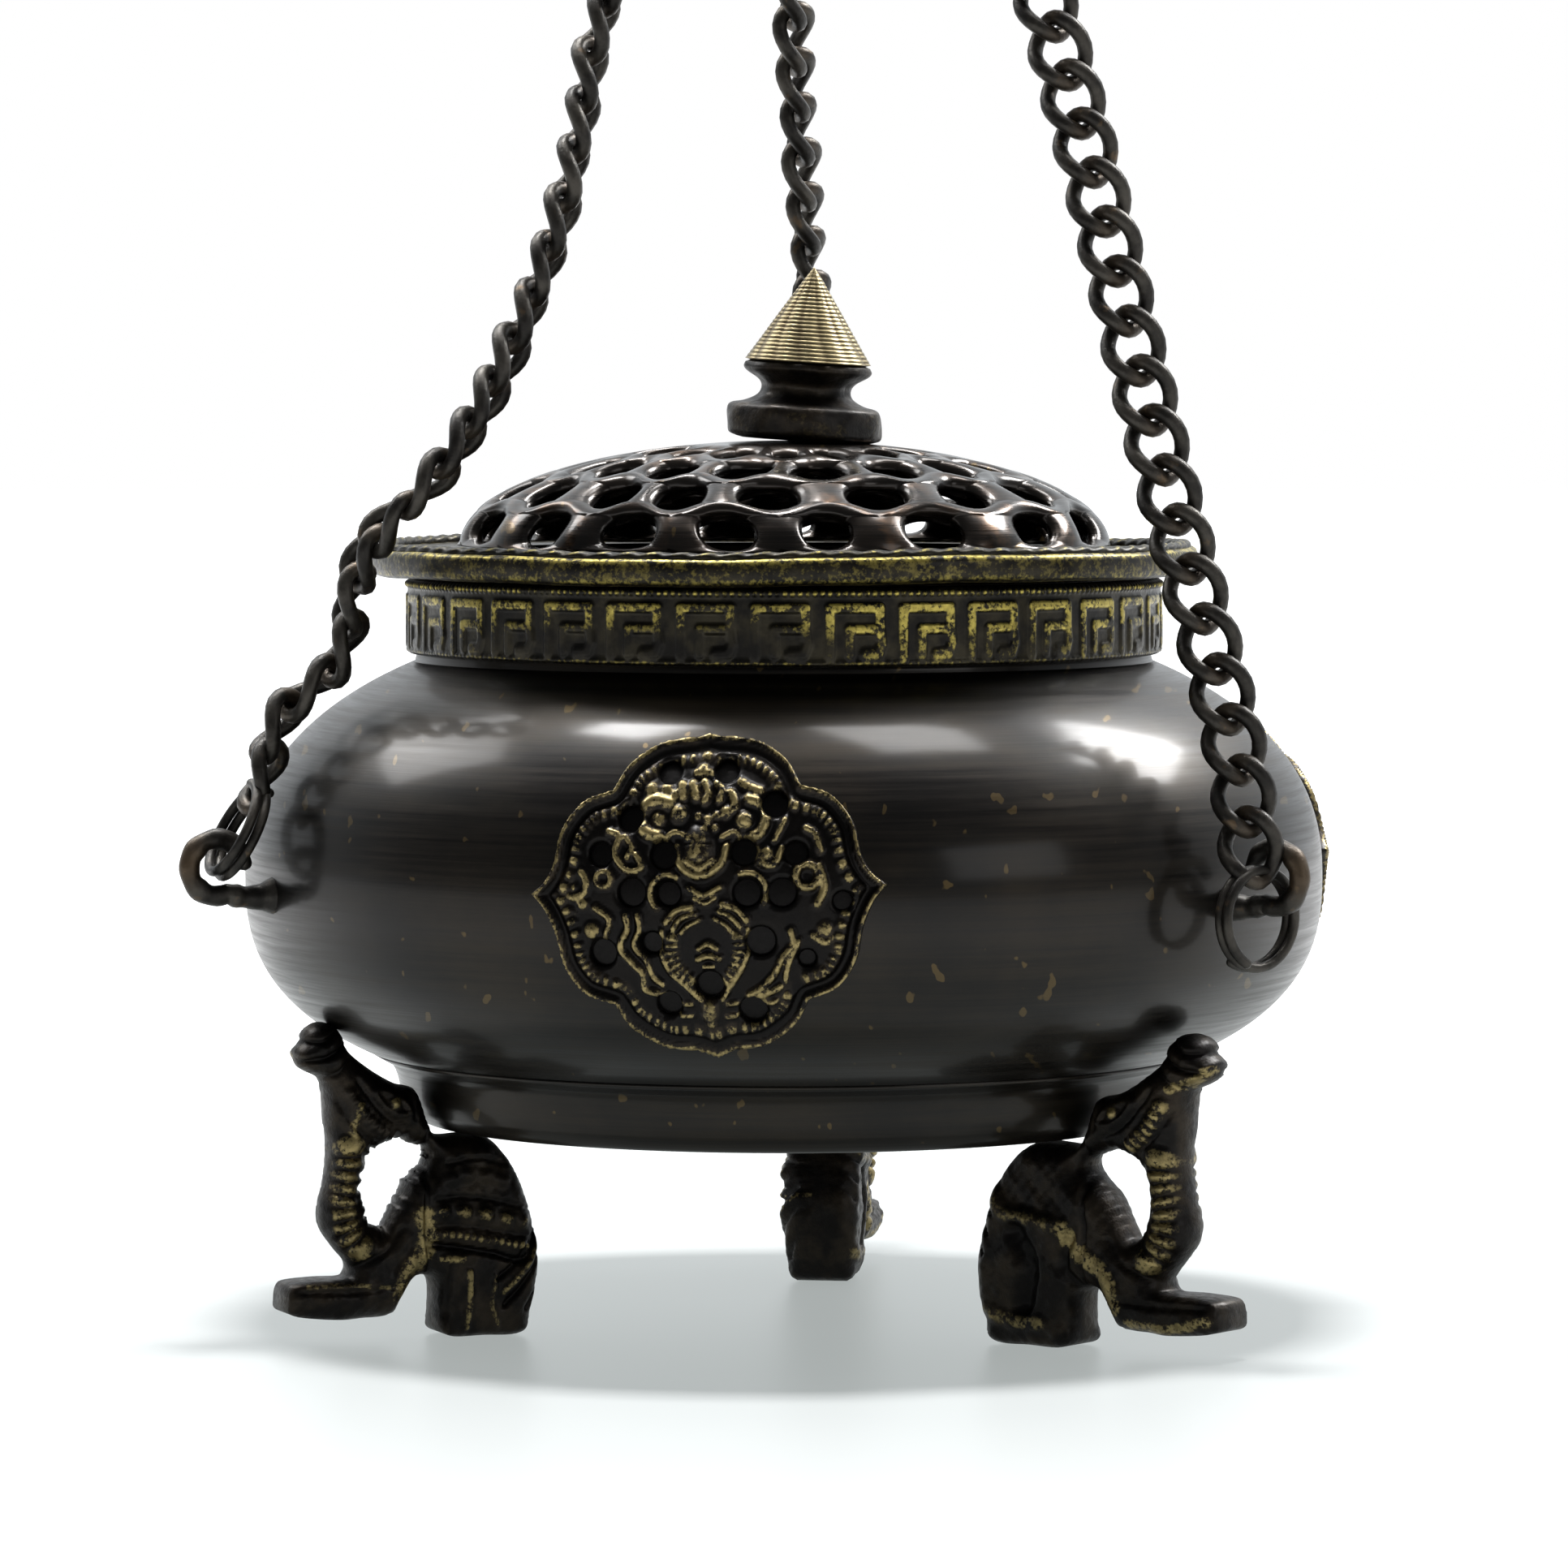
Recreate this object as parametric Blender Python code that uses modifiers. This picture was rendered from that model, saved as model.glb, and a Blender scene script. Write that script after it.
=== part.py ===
"""Hanging incense censer: a lidded brass bowl on three elephant feet, hung from three chains.

The origin is on the surface that the feet rest on, under the axis of the bowl. +Z is up and -Y is the front, where
one medallion faces. Lengths are in millimetres until the mesh is made, where MM turns them into metres.
"""

import math

import bmesh
import bpy
import numpy as np
from mathutils import Matrix, Vector

MM = 0.001
GAP = 0.3  # between solids that touch
STEPS = 48  # facets round the bowl and the lid
FINE_STEPS = 24  # facets round the small turned pieces

# Bowl: two halves of a superellipse (radius, half height, exponent) that meet at the widest ring
BELLY_RADIUS, BELLY_Z = 57.1, 47.4
UPPER_HEIGHT, UPPER_POWER, UPPER_END = 28.6, 2.3, math.radians(49.5)
LOWER_HEIGHT, LOWER_POWER, LOWER_END = 24.4, 2.6, math.radians(55.3)
WALL = 1.6
NECK_RADIUS, RIM_Z = 38.8, 78.8
BOWL_BOTTOM_Z = 25.3

# Fret band round the neck, and the base ring under the belly
BAND_RADIUS, BAND_BOTTOM_Z = 40.0, 71.2
BASE_RING = ((41.2, 27.4), (40.7, 25.0), (39.8, 22.5), (38.8, 21.4), (37.6, 21.4), (37.2, 22.4), (37.2, 26.0))

# Lid: flange, pierced dome and the spigot that locates it in the mouth
FLANGE_RADIUS, FLANGE_HOLE, FLANGE_THICK = 43.8, 32.9, 2.8
DOME_RADIUS, DOME_HEIGHT, DOME_WALL = 34.6, 10.9, 1.8
SPIGOT_WALL, SPIGOT_DEPTH = 1.3, 4.9
DOME_HOLES = ((32.2, 5.2, 4.4), (27.0, 5.0, 4.4), (20.4, 4.2, 3.8))  # row radius, width, height
HOLES_PER_ROW, HOLES_TURN = 18, 7.0  # the first row's turn from the X axis, in degrees

# Finial, leaning a little off the bowl's axis
FINIAL_BASE = (2.0, 0.3, 93.55)
FINIAL_LEAN = math.radians(3.8)
STUD_RADIUS, STUD_HEAD = 1.5, 3.2
NECK_PROFILE = ((6.6, 7.9), (6.5, 7.3), (5.2, 6.4), (4.7, 5.2), (5.6, 4.1), (7.4, 3.8), (8.15, 3.2), (8.15, 0.4), (7.6, 0.0))
CONE_PROFILE = ((0.0, 18.1), (0.9, 17.4), (6.5, 8.7), (6.5, 8.2))

# Round the axis: feet, hooks and chains at the first three angles, medallions half way between them
SIDES = {"back": 90.0, "left": 210.0, "right": 330.0}
MEDALLION_SIDES = {"front": 270.0, "right_back": 30.0, "left_back": 150.0}

# Elephant foot, drawn in the plane through the axis as (distance from the axis, height)
FOOT_THICK = 8.0
FOOT_OUTLINE = (
    (39.3, 21.0), (40.4, 22.3), (41.3, 24.6), (42.2, 26.0), (44.5, 26.6), (47.5, 28.2), (50.2, 30.2),
    (50.9, 31.9), (52.0, 33.0), (54.0, 33.0), (55.8, 31.6), (56.3, 29.8), (55.2, 28.3), (53.5, 27.4),
    (52.7, 25.5), (52.5, 22.5), (52.2, 20.0), (52.6, 16.5), (53.3, 14.0), (53.2, 11.8), (51.6, 9.6), (50.2, 8.0),
    (50.4, 6.4), (53.5, 6.2), (56.6, 5.8), (57.6, 4.6), (57.0, 3.2), (54.0, 2.4), (49.0, 2.2), (44.8, 2.6),
    (43.6, 4.4), (42.4, 6.1), (40.6, 6.3), (39.8, 5.0), (39.8, 1.8), (38.4, 0.0), (30.4, 0.0), (28.6, 1.4),
    (27.4, 5.5), (27.2, 8.8), (28.4, 13.0), (29.8, 16.6), (31.4, 19.0), (33.0, 20.4), (35.0, 20.9),
)
FOOT_HOLE = (
    (41.8, 20.2), (40.6, 19.2), (41.0, 18.0), (43.4, 15.6), (44.8, 13.2), (46.2, 11.4),
    (47.8, 12.6), (48.5, 15.0), (48.3, 18.0), (46.8, 20.0), (44.4, 20.8),
)

# Medallion: right half of its outline, from the top point down to the bottom point, and its place on the belly
MEDALLION_HALF = (
    (0.0, 15.5), (4.6, 15.0), (7.8, 13.0), (9.5, 10.3), (12.5, 9.2), (14.6, 6.5), (15.5, 3.2), (17.8, 0.4),
    (16.0, -3.0), (14.8, -7.0), (12.9, -9.5), (9.8, -10.5), (8.4, -12.8), (5.1, -14.7), (0.0, -15.8),
)
MEDALLION_Z, MEDALLION_THICK = 49.0, 1.3

# Chain hook: a forged eye in the plane through the axis
EYE_CENTRE, EYE_RADIUS, EYE_WIRE = (63.0, 49.5), 2.95, 1.0
EYE_START, EYE_END = math.radians(-110), math.radians(175)
HOOK_ROOT = ((57.6, 46.6), (59.8, 46.6))  # the stem, from the belly outwards

# Split ring: two turns of wire. Centre and normal are (outwards, sideways, up) from the hook's side
RING_RADIUS, RING_WIRE, RING_PITCH, RING_POINTS = 4.95, 0.5, 1.1, 28
STANDING_RING = {"centre": (60.6, 0.0, 53.2), "normal": (0.88, 0.0, 0.47), "first": (-0.47, 0.0, 0.88), "start": 0.0}
HANGING_RING = {"centre": (62.5, -2.6, 45.4), "normal": (0.979, -0.205, 0.0), "first": (0.0, 0.0, 1.0), "start": 150.0}
RINGS = {"back": STANDING_RING, "left": STANDING_RING, "right": HANGING_RING}

# Chains: the route of each one's centre line, from its split ring up to the gathering ring
CHAIN_RADIUS, CHAIN_STEP = 2.0, 8.0
CHAIN_ROUTES = {
    "left": (
        (-50.2, -29.0, 58.9), (-49.0, -28.1, 63.8), (-45.9, -27.2, 67.5), (-42.5, -26.5, 71.4), (-41.4, -26.9, 76.1),
        (-39.5, -29.4, 81.0), (-36.4, -32.0, 84.9), (-32.9, -32.3, 88.2), (-30.0, -30.4, 92.4), (-27.1, -27.2, 97.8),
        (-24.0, -22.6, 106.2), (-21.1, -19.6, 115.4), (-19.3, -16.3, 125.6), (-17.4, -13.1, 137.5), (-10.6, -7.5, 157.0),
        (-4.3, -3.6, 178.0), (-1.8, -1.2, 200.6),
    ),
    "right": (
        (52.0, -33.0, 54.0), (50.9, -31.8, 60.3), (48.7, -29.9, 69.0), (46.4, -28.4, 77.0), (43.2, -26.0, 88.0),
        (39.2, -22.8, 103.0), (35.1, -19.8, 119.0), (29.4, -15.6, 138.5), (21.7, -10.6, 161.0),
        (13.8, -5.0, 184.0), (9.8, -1.0, 200.6),
    ),
    "back": (
        (0.0, 57.9, 58.9), (-0.1, 54.4, 64.5), (-0.2, 51.8, 70.3), (-0.6, 49.4, 77.0), (-0.9, 47.9, 82.5),
        (-1.3, 46.7, 88.0), (-1.8, 42.7, 98.0), (-2.2, 34.0, 116.5), (-2.3, 24.4, 137.5), (-1.2, 15.5, 159.0),
        (1.6, 7.0, 180.0), (4.0, 1.1, 198.0),
    ),
}

# Gathering ring and the hook that hangs in it, both outside the bowl
GATHER_CENTRE, GATHER_RADIUS, GATHER_WIRE = (4.0, 0.5, 206.5), 6.0, 1.0
HANGER_WIRE, HANGER_EYE_Z, HANGER_EYE_RADIUS = 1.1, 213.3, 3.2
HANGER_EYE_START, HANGER_EYE_END = math.radians(135), math.radians(420)
HANGER_SHANK = (
    (0.2, 218.6), (0.3, 220.4), (2.2, 222.4), (5.2, 224.6), (6.9, 228.0), (6.4, 232.0), (3.6, 235.2),
    (0.0, 236.3), (-3.8, 235.1), (-6.5, 231.8), (-6.9, 228.2), (-5.8, 225.8),
)

FINISHES = {  # linear colour, roughness
    "dark_bronze": ((0.030, 0.022, 0.018), 0.32),
    "worn_brass": ((0.30, 0.22, 0.08), 0.45),
    "pale_brass": ((0.55, 0.42, 0.20), 0.40),
    "gunmetal": ((0.055, 0.048, 0.042), 0.42),
}


def cleared():
    """Removes the startup scene's objects, and returns the collections for the parts and for the cutters."""
    for obj in list(bpy.data.objects):
        bpy.data.objects.remove(obj)
    found = []
    for name in ("incense_censer", "cutters"):
        collection = bpy.data.collections.new(name)
        bpy.context.scene.collection.children.link(collection)
        found.append(collection)
    found[1].hide_render = True
    return found


def metal(name):
    """The material of that name, made once."""
    if name in bpy.data.materials:
        return bpy.data.materials[name]
    colour, roughness = FINISHES[name]
    material = bpy.data.materials.new(name)
    material.use_nodes = True
    shader = material.node_tree.nodes["Principled BSDF"]
    shader.inputs["Base Color"].default_value = (*colour, 1.0)
    shader.inputs["Roughness"].default_value = roughness
    shader.inputs["Metallic"].default_value = 1.0
    return material


def placed(name, data, finish):
    """A new object of the censer with that mesh or curve, named and coloured."""
    obj = bpy.data.objects.new(name, data)
    parts.objects.link(obj)
    data.materials.append(metal(finish))
    return obj


def as_cutter(obj):
    """Moves an object among the cutters, where it is drawn as a wire and left out of the render."""
    for collection in obj.users_collection:
        collection.objects.unlink(obj)
    cutters.objects.link(obj)
    obj.hide_render = True
    obj.display_type = "WIRE"
    return obj


def superellipse(radius, height, power, angles):
    """Points of a quarter superellipse as (distance from the axis, height above its widest ring)."""
    return [(radius * math.cos(a) ** (2 / power), height * math.sin(a) ** (2 / power)) for a in angles]


def belly(offset, upper_end, lower_end, steps=7):
    """The belly's profile from the shoulder down, moved outwards by offset."""
    radius = BELLY_RADIUS + offset
    down = [upper_end * (1 - i / steps) for i in range(steps)]
    under = [lower_end * i / steps for i in range(steps + 1)]
    upper = superellipse(radius, UPPER_HEIGHT + offset, UPPER_POWER, down)
    lower = superellipse(radius, LOWER_HEIGHT + offset, LOWER_POWER, under)
    return [(r, BELLY_Z + z) for r, z in upper] + [(r, BELLY_Z - z) for r, z in lower]


def turned(name, profile, finish, steps=STEPS, closed=True):
    """A solid of revolution about its own Z axis, from a profile that runs down its outer side."""
    mesh = bpy.data.meshes.new(name)
    points = [(r * MM, 0.0, z * MM) for r, z in profile]
    edges = [(i, i + 1) for i in range(len(points) - 1)]
    if closed:
        edges.append((len(points) - 1, 0))
    mesh.from_pydata(points, edges, [])
    obj = placed(name, mesh, finish)
    screw = obj.modifiers.new("turn", "SCREW")
    screw.steps = screw.render_steps = steps
    screw.use_merge_vertices = True
    screw.merge_threshold = 1e-6
    screw.use_smooth_shade = True
    return obj


def tube(name, points, radius, finish, taper=None):
    """A round bar along the points, with closed ends. taper gives the first points' thickness against the rest."""
    curve = bpy.data.curves.new(name, "CURVE")
    curve.dimensions = "3D"
    curve.bevel_depth = radius * MM
    curve.bevel_resolution = 2
    curve.use_fill_caps = True
    spline = curve.splines.new("POLY")
    spline.points.add(len(points) - 1)
    for point, place in zip(spline.points, points):
        point.co = (*(Vector(place) * MM), 1.0)
    for point, scale in zip(spline.points, taper or ()):
        point.radius = scale
    return placed(name, curve, finish)


def plate(name, outlines, thick, finish, matrix):
    """A flat plate cut to one outline, less the outlines inside it, centred on the matrix's XY plane."""
    curve = bpy.data.curves.new(name, "CURVE")
    curve.dimensions = "2D"
    curve.fill_mode = "BOTH"
    curve.extrude = thick / 2 * MM
    for outline in outlines:
        spline = curve.splines.new("POLY")
        spline.points.add(len(outline) - 1)
        spline.use_cyclic_u = True
        for point, (x, y) in zip(spline.points, outline):
            point.co = (x * MM, y * MM, 0.0, 1.0)
    obj = placed(name, curve, finish)
    obj.matrix_world = matrix
    return obj


def as_mesh(obj):
    """The same object as a welded mesh, so that a Boolean can use it."""
    bpy.context.view_layer.update()
    evaluated = obj.evaluated_get(bpy.context.evaluated_depsgraph_get())
    mesh = bpy.data.meshes.new_from_object(evaluated)
    work = bmesh.new()
    work.from_mesh(mesh)
    bmesh.ops.remove_doubles(work, verts=work.verts, dist=1e-6)
    bmesh.ops.recalc_face_normals(work, faces=work.faces)
    work.to_mesh(mesh)
    work.free()
    name, matrix = obj.name, obj.matrix_world.copy()
    bpy.data.objects.remove(obj)
    found = bpy.data.objects.new(name, mesh)
    parts.objects.link(found)
    found.matrix_world = matrix
    return found


def boolean(obj, operation, other):
    """Adds a Boolean modifier to obj."""
    modifier = obj.modifiers.new(operation.lower(), "BOOLEAN")
    modifier.operation = operation
    modifier.object = other


def smooth_route(points, step):
    """Points a step apart on the Catmull-Rom curve through the given ones."""
    ends = np.array([2 * np.array(points[0]) - points[1], *points, 2 * np.array(points[-1]) - points[-2]])
    t = np.linspace(0, 1, 20, endpoint=False)[:, None]
    rows = []
    for a, b, c, d in zip(ends, ends[1:], ends[2:], ends[3:]):
        rows.append(0.5 * (2 * b + (c - a) * t + (2 * a - 5 * b + 4 * c - d) * t**2 + (3 * b - a - 3 * c + d) * t**3))
    dense = np.vstack([*rows, ends[-2:-1]])
    along = np.concatenate([[0], np.cumsum(np.linalg.norm(np.diff(dense, axis=0), axis=1))])
    wanted = np.linspace(0, along[-1], round(along[-1] / step) + 1)
    return np.stack([np.interp(wanted, along, dense[:, k]) for k in range(3)], axis=1)


def side_axes(degrees):
    """Unit vectors outwards and sideways at that angle round the axis."""
    angle = math.radians(degrees)
    return Vector((math.cos(angle), math.sin(angle), 0)), Vector((-math.sin(angle), math.cos(angle), 0))


def at_side(degrees, place):
    """The point that lies (outwards, sideways, up) by place at that angle round the axis."""
    outwards, sideways = side_axes(degrees)
    return outwards * place[0] + sideways * place[1] + Vector((0, 0, place[2]))


def frame_of(x_axis, y_axis, z_axis, place):
    """The matrix with those axes as its columns, at a place in millimetres."""
    matrix = Matrix((x_axis, y_axis, z_axis)).transposed().to_4x4()
    matrix.translation = Vector(place) * MM
    return matrix


def make_bowl():
    inner = belly(-WALL, math.radians(50.9), LOWER_END, 5)
    profile = [(0.0, BOWL_BOTTOM_Z + WALL), *reversed(inner)]
    profile += [(NECK_RADIUS - WALL, RIM_Z), (NECK_RADIUS, RIM_Z), (NECK_RADIUS, BAND_BOTTOM_Z - 0.8)]
    profile += [*belly(0.0, UPPER_END, LOWER_END), (0.0, BOWL_BOTTOM_Z)]
    turned("bowl", profile, "dark_bronze", closed=False)
    turned("base_ring", BASE_RING, "dark_bronze")


def make_band():
    inside = NECK_RADIUS + GAP
    profile = ((BAND_RADIUS, RIM_Z), (BAND_RADIUS, BAND_BOTTOM_Z), (inside, BAND_BOTTOM_Z), (inside, RIM_Z))
    turned("fret_band", profile, "worn_brass")


def ellipse_down(radius, height, steps=7):
    """A quarter ellipse from its top on the axis down to its widest ring."""
    return [(radius * math.sin(a), height * math.cos(a)) for a in np.linspace(0, math.pi / 2, steps)]


def make_lid():
    bottom = RIM_Z + GAP
    top = bottom + FLANGE_THICK
    rim = ((FLANGE_RADIUS, top), (FLANGE_RADIUS, bottom), (FLANGE_HOLE, bottom), (FLANGE_HOLE, top))
    turned("lid_flange", rim, "worn_brass")

    outside = NECK_RADIUS - WALL - GAP
    inside = outside - SPIGOT_WALL
    spigot = ((outside, RIM_Z), (outside, RIM_Z - SPIGOT_DEPTH), (inside, RIM_Z - SPIGOT_DEPTH), (inside, RIM_Z))
    turned("lid_spigot", spigot, "dark_bronze")

    base = top + GAP
    outer = [(r, base + z) for r, z in ellipse_down(DOME_RADIUS, DOME_HEIGHT)]
    inner = [(r, base + z) for r, z in ellipse_down(DOME_RADIUS - DOME_WALL, DOME_HEIGHT - DOME_WALL)]
    dome = turned("lid_dome", [*outer, *reversed(inner)], "dark_bronze", closed=False)
    boolean(dome, "DIFFERENCE", dome_cutter(base))


def dome_cutter(base):
    """One prism for each hole of the dome, square to its surface, and the round hole for the finial's stud."""
    work = bmesh.new()
    for row, (radius, width, height) in enumerate(DOME_HOLES):
        rise = DOME_HEIGHT * math.sqrt(1 - (radius / DOME_RADIUS) ** 2)
        slope = Vector((radius / DOME_RADIUS**2, 0, rise / DOME_HEIGHT**2)).normalized()
        for i in range(HOLES_PER_ROW):
            outwards, sideways = side_axes(HOLES_TURN + (i + 0.5 * (row % 2)) * 360 / HOLES_PER_ROW)
            normal = outwards * slope.x + Vector((0, 0, slope.z))
            place = outwards * radius + Vector((0, 0, base + rise))
            matrix = frame_of(sideways, normal.cross(sideways), normal, place)
            matrix = matrix @ Matrix.Diagonal((width / 2 * MM, height / 2 * MM, MM, 1))
            bmesh.ops.create_cone(work, cap_ends=True, segments=6, radius1=1, radius2=1, depth=10, matrix=matrix)
    stud = finial_matrix() @ Matrix.Diagonal((MM, MM, MM, 1))
    wide = STUD_RADIUS + GAP
    bmesh.ops.create_cone(work, cap_ends=True, segments=16, radius1=wide, radius2=wide, depth=12, matrix=stud)
    mesh = bpy.data.meshes.new("dome_holes")
    work.to_mesh(mesh)
    work.free()
    return as_cutter(placed("dome_holes", mesh, "dark_bronze"))


def finial_matrix():
    """The finial's frame: its foot on the dome's crown, leaning towards +X."""
    return Matrix.Translation(Vector(FINIAL_BASE) * MM) @ Matrix.Rotation(FINIAL_LEAN, 4, "Y")


def make_finial():
    bore = STUD_RADIUS + GAP
    neck = turned("finial_neck", (*NECK_PROFILE, (bore, 0.0), (bore, 7.9)), "dark_bronze", FINE_STEPS)
    hole = ((bore, 8.2), (bore, 13.0), (0.0, 13.0))
    cone = turned("finial_cone", (*CONE_PROFILE, *hole), "pale_brass", FINE_STEPS, closed=False)
    shaft = ((0.0, 12.5), (STUD_RADIUS, 12.5), (STUD_RADIUS, -2.9), (STUD_HEAD, -2.9), (STUD_HEAD, -3.7), (0.0, -4.0))
    stud = turned("finial_stud", shaft, "worn_brass", 16, closed=False)
    for obj in (neck, cone, stud):
        obj.matrix_world = finial_matrix()


def make_feet():
    up = Vector((0, 0, 1))
    for side, degrees in SIDES.items():
        outwards, sideways = side_axes(degrees)
        matrix = frame_of(outwards, up, -sideways, (0, 0, 0))
        plate(f"elephant_foot_{side}", (FOOT_OUTLINE, FOOT_HOLE), FOOT_THICK, "dark_bronze", matrix)


def make_medallions():
    left = [(-x, y) for x, y in reversed(MEDALLION_HALF[1:-1])]
    shell = [*belly(GAP + MEDALLION_THICK, UPPER_END, LOWER_END), *reversed(belly(GAP, UPPER_END, LOWER_END))]
    for side, degrees in MEDALLION_SIDES.items():
        outwards, sideways = side_axes(degrees)
        place = outwards * BELLY_RADIUS + Vector((0, 0, MEDALLION_Z))
        matrix = frame_of(sideways, Vector((0, 0, 1)), outwards, place)
        name = f"medallion_{side}"
        cutter = plate(f"{name}_outline", ([*MEDALLION_HALF, *left],), 34.0, "worn_brass", matrix)
        boolean(turned(name, shell, "worn_brass"), "INTERSECT", as_cutter(as_mesh(cutter)))


def make_hooks():
    turn = np.linspace(EYE_START, EYE_END, 12)
    eye = [(EYE_CENTRE[0] + EYE_RADIUS * math.cos(a), EYE_CENTRE[1] + EYE_RADIUS * math.sin(a)) for a in turn]
    for side, degrees in SIDES.items():
        points = [at_side(degrees, (r, 0, z)) for r, z in (*HOOK_ROOT, *eye)]
        tube(f"chain_hook_{side}", points, EYE_WIRE, "gunmetal", taper=(1.7, 1.2))


def make_split_rings():
    for side, ring in RINGS.items():
        normal = Vector(ring["normal"]).normalized()
        first = Vector(ring["first"]).normalized()
        second = normal.cross(first)
        points = []
        for i in range(RING_POINTS + 1):
            turn = 2 * i / RING_POINTS
            angle = math.radians(ring["start"]) + 2 * math.pi * turn
            spot = first * math.cos(angle) + second * math.sin(angle)
            place = Vector(ring["centre"]) + spot * RING_RADIUS + normal * (turn - 1) * RING_PITCH
            points.append(at_side(SIDES[side], place))
        tube(f"split_ring_{side}", points, RING_WIRE, "gunmetal")


def make_chains():
    for side, route in CHAIN_ROUTES.items():
        tube(f"chain_{side}", smooth_route(route, CHAIN_STEP), CHAIN_RADIUS, "gunmetal")


def make_hanger():
    bpy.ops.mesh.primitive_torus_add(
        major_segments=24, minor_segments=8, major_radius=GATHER_RADIUS * MM, minor_radius=GATHER_WIRE * MM,
        location=Vector(GATHER_CENTRE) * MM, rotation=(math.pi / 2, 0, 0),
    )
    ring = bpy.context.object
    ring.name = "gathering_ring"
    for collection in ring.users_collection:
        collection.objects.unlink(ring)
    parts.objects.link(ring)
    ring.data.materials.append(metal("gunmetal"))
    ring.data.shade_smooth()

    x, y, _ = GATHER_CENTRE
    turn = np.linspace(HANGER_EYE_START, HANGER_EYE_END, 16)
    eye = [(HANGER_EYE_RADIUS * math.cos(a), HANGER_EYE_Z + HANGER_EYE_RADIUS * math.sin(a)) for a in turn]
    points = [(x, y + across, z) for across, z in (*eye, *HANGER_SHANK)]
    tube("hanging_hook", points, HANGER_WIRE, "gunmetal")


parts, cutters = cleared()
make_bowl()
make_band()
make_lid()
make_finial()
make_feet()
make_medallions()
make_hooks()
make_split_rings()
make_chains()
make_hanger()
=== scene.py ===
"""Looks of a hanging incense censer: patinated brass, pierced lid, elephant feet, medallions and curb chains.

Each class builds one sub-assembly in the CAD frame. Lengths are millimetres in the frame's own axes until
Shape.build turns them into metres: +Z is up, -Y is the front and the bowl's axis is X = Y = 0.
"""

import logging
import math
from collections.abc import Callable, Sequence
from dataclasses import dataclass, field
from enum import Enum

import bmesh
import bpy
import numpy as np
from mathutils import Euler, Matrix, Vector


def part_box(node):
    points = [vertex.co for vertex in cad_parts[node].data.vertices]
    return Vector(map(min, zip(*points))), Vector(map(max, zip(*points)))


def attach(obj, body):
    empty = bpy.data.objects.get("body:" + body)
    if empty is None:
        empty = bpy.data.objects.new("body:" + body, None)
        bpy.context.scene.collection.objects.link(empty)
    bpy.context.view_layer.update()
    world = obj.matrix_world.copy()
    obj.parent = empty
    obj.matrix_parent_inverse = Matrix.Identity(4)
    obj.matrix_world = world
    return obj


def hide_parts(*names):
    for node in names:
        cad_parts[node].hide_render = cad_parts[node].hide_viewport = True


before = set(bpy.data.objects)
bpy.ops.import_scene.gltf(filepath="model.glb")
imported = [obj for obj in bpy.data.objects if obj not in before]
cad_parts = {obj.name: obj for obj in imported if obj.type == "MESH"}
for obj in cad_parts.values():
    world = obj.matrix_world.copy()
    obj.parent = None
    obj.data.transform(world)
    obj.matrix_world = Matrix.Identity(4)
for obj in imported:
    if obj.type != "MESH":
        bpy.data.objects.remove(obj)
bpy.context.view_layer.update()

MM = 0.001
Array = np.ndarray
Point = tuple[float, ...]
log = logging.getLogger("censer")


class Body(str, Enum):
    """The moving bodies that pieces ride on."""

    BOWL = "bowl"
    LID = "lid"
    HANGER = "hanger"
    RING_LEFT = "ring_left"
    RING_RIGHT = "ring_right"
    RING_BACK = "ring_back"


class Side(Enum):
    """Where the feet, hooks and chains stand round the axis, in degrees."""

    LEFT = 210.0
    RIGHT = 330.0
    BACK = 90.0

    @property
    def label(self) -> str:
        """The side's name as the nodes spell it."""
        return self.name.lower()

    @property
    def ring_body(self) -> Body:
        """The body of this side's split ring."""
        return Body[f"RING_{self.name}"]


def box_mm(node: str) -> tuple[Array, Array]:
    """The node's lowest and highest corners in millimetres."""
    low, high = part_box(node)
    return np.array(low) / MM, np.array(high) / MM


def side_axes(degrees: float) -> tuple[Array, Array, Array]:
    """Unit vectors at an angle round the bowl's axis.

    Args:
        degrees: The angle, from +X.

    Returns:
        The directions outwards, sideways and up.
    """
    angle = math.radians(degrees)
    out = np.array([math.cos(angle), math.sin(angle), 0.0])
    return out, np.array([-out[1], out[0], 0.0]), np.array([0.0, 0.0, 1.0])


def unit(vectors: Array) -> Array:
    """The vectors along the last axis, made one long."""
    return vectors / np.maximum(np.linalg.norm(vectors, axis=-1, keepdims=True), 1e-12)


def smooth_step(values: Array, low: float, high: float) -> Array:
    """0 below low, 1 above high and an S-curve between them."""
    t = np.clip((values - low) / (high - low), 0, 1)
    return t * t * (3 - 2 * t)


# ---------------------------------------------------------------------------------------------------- lines


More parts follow.
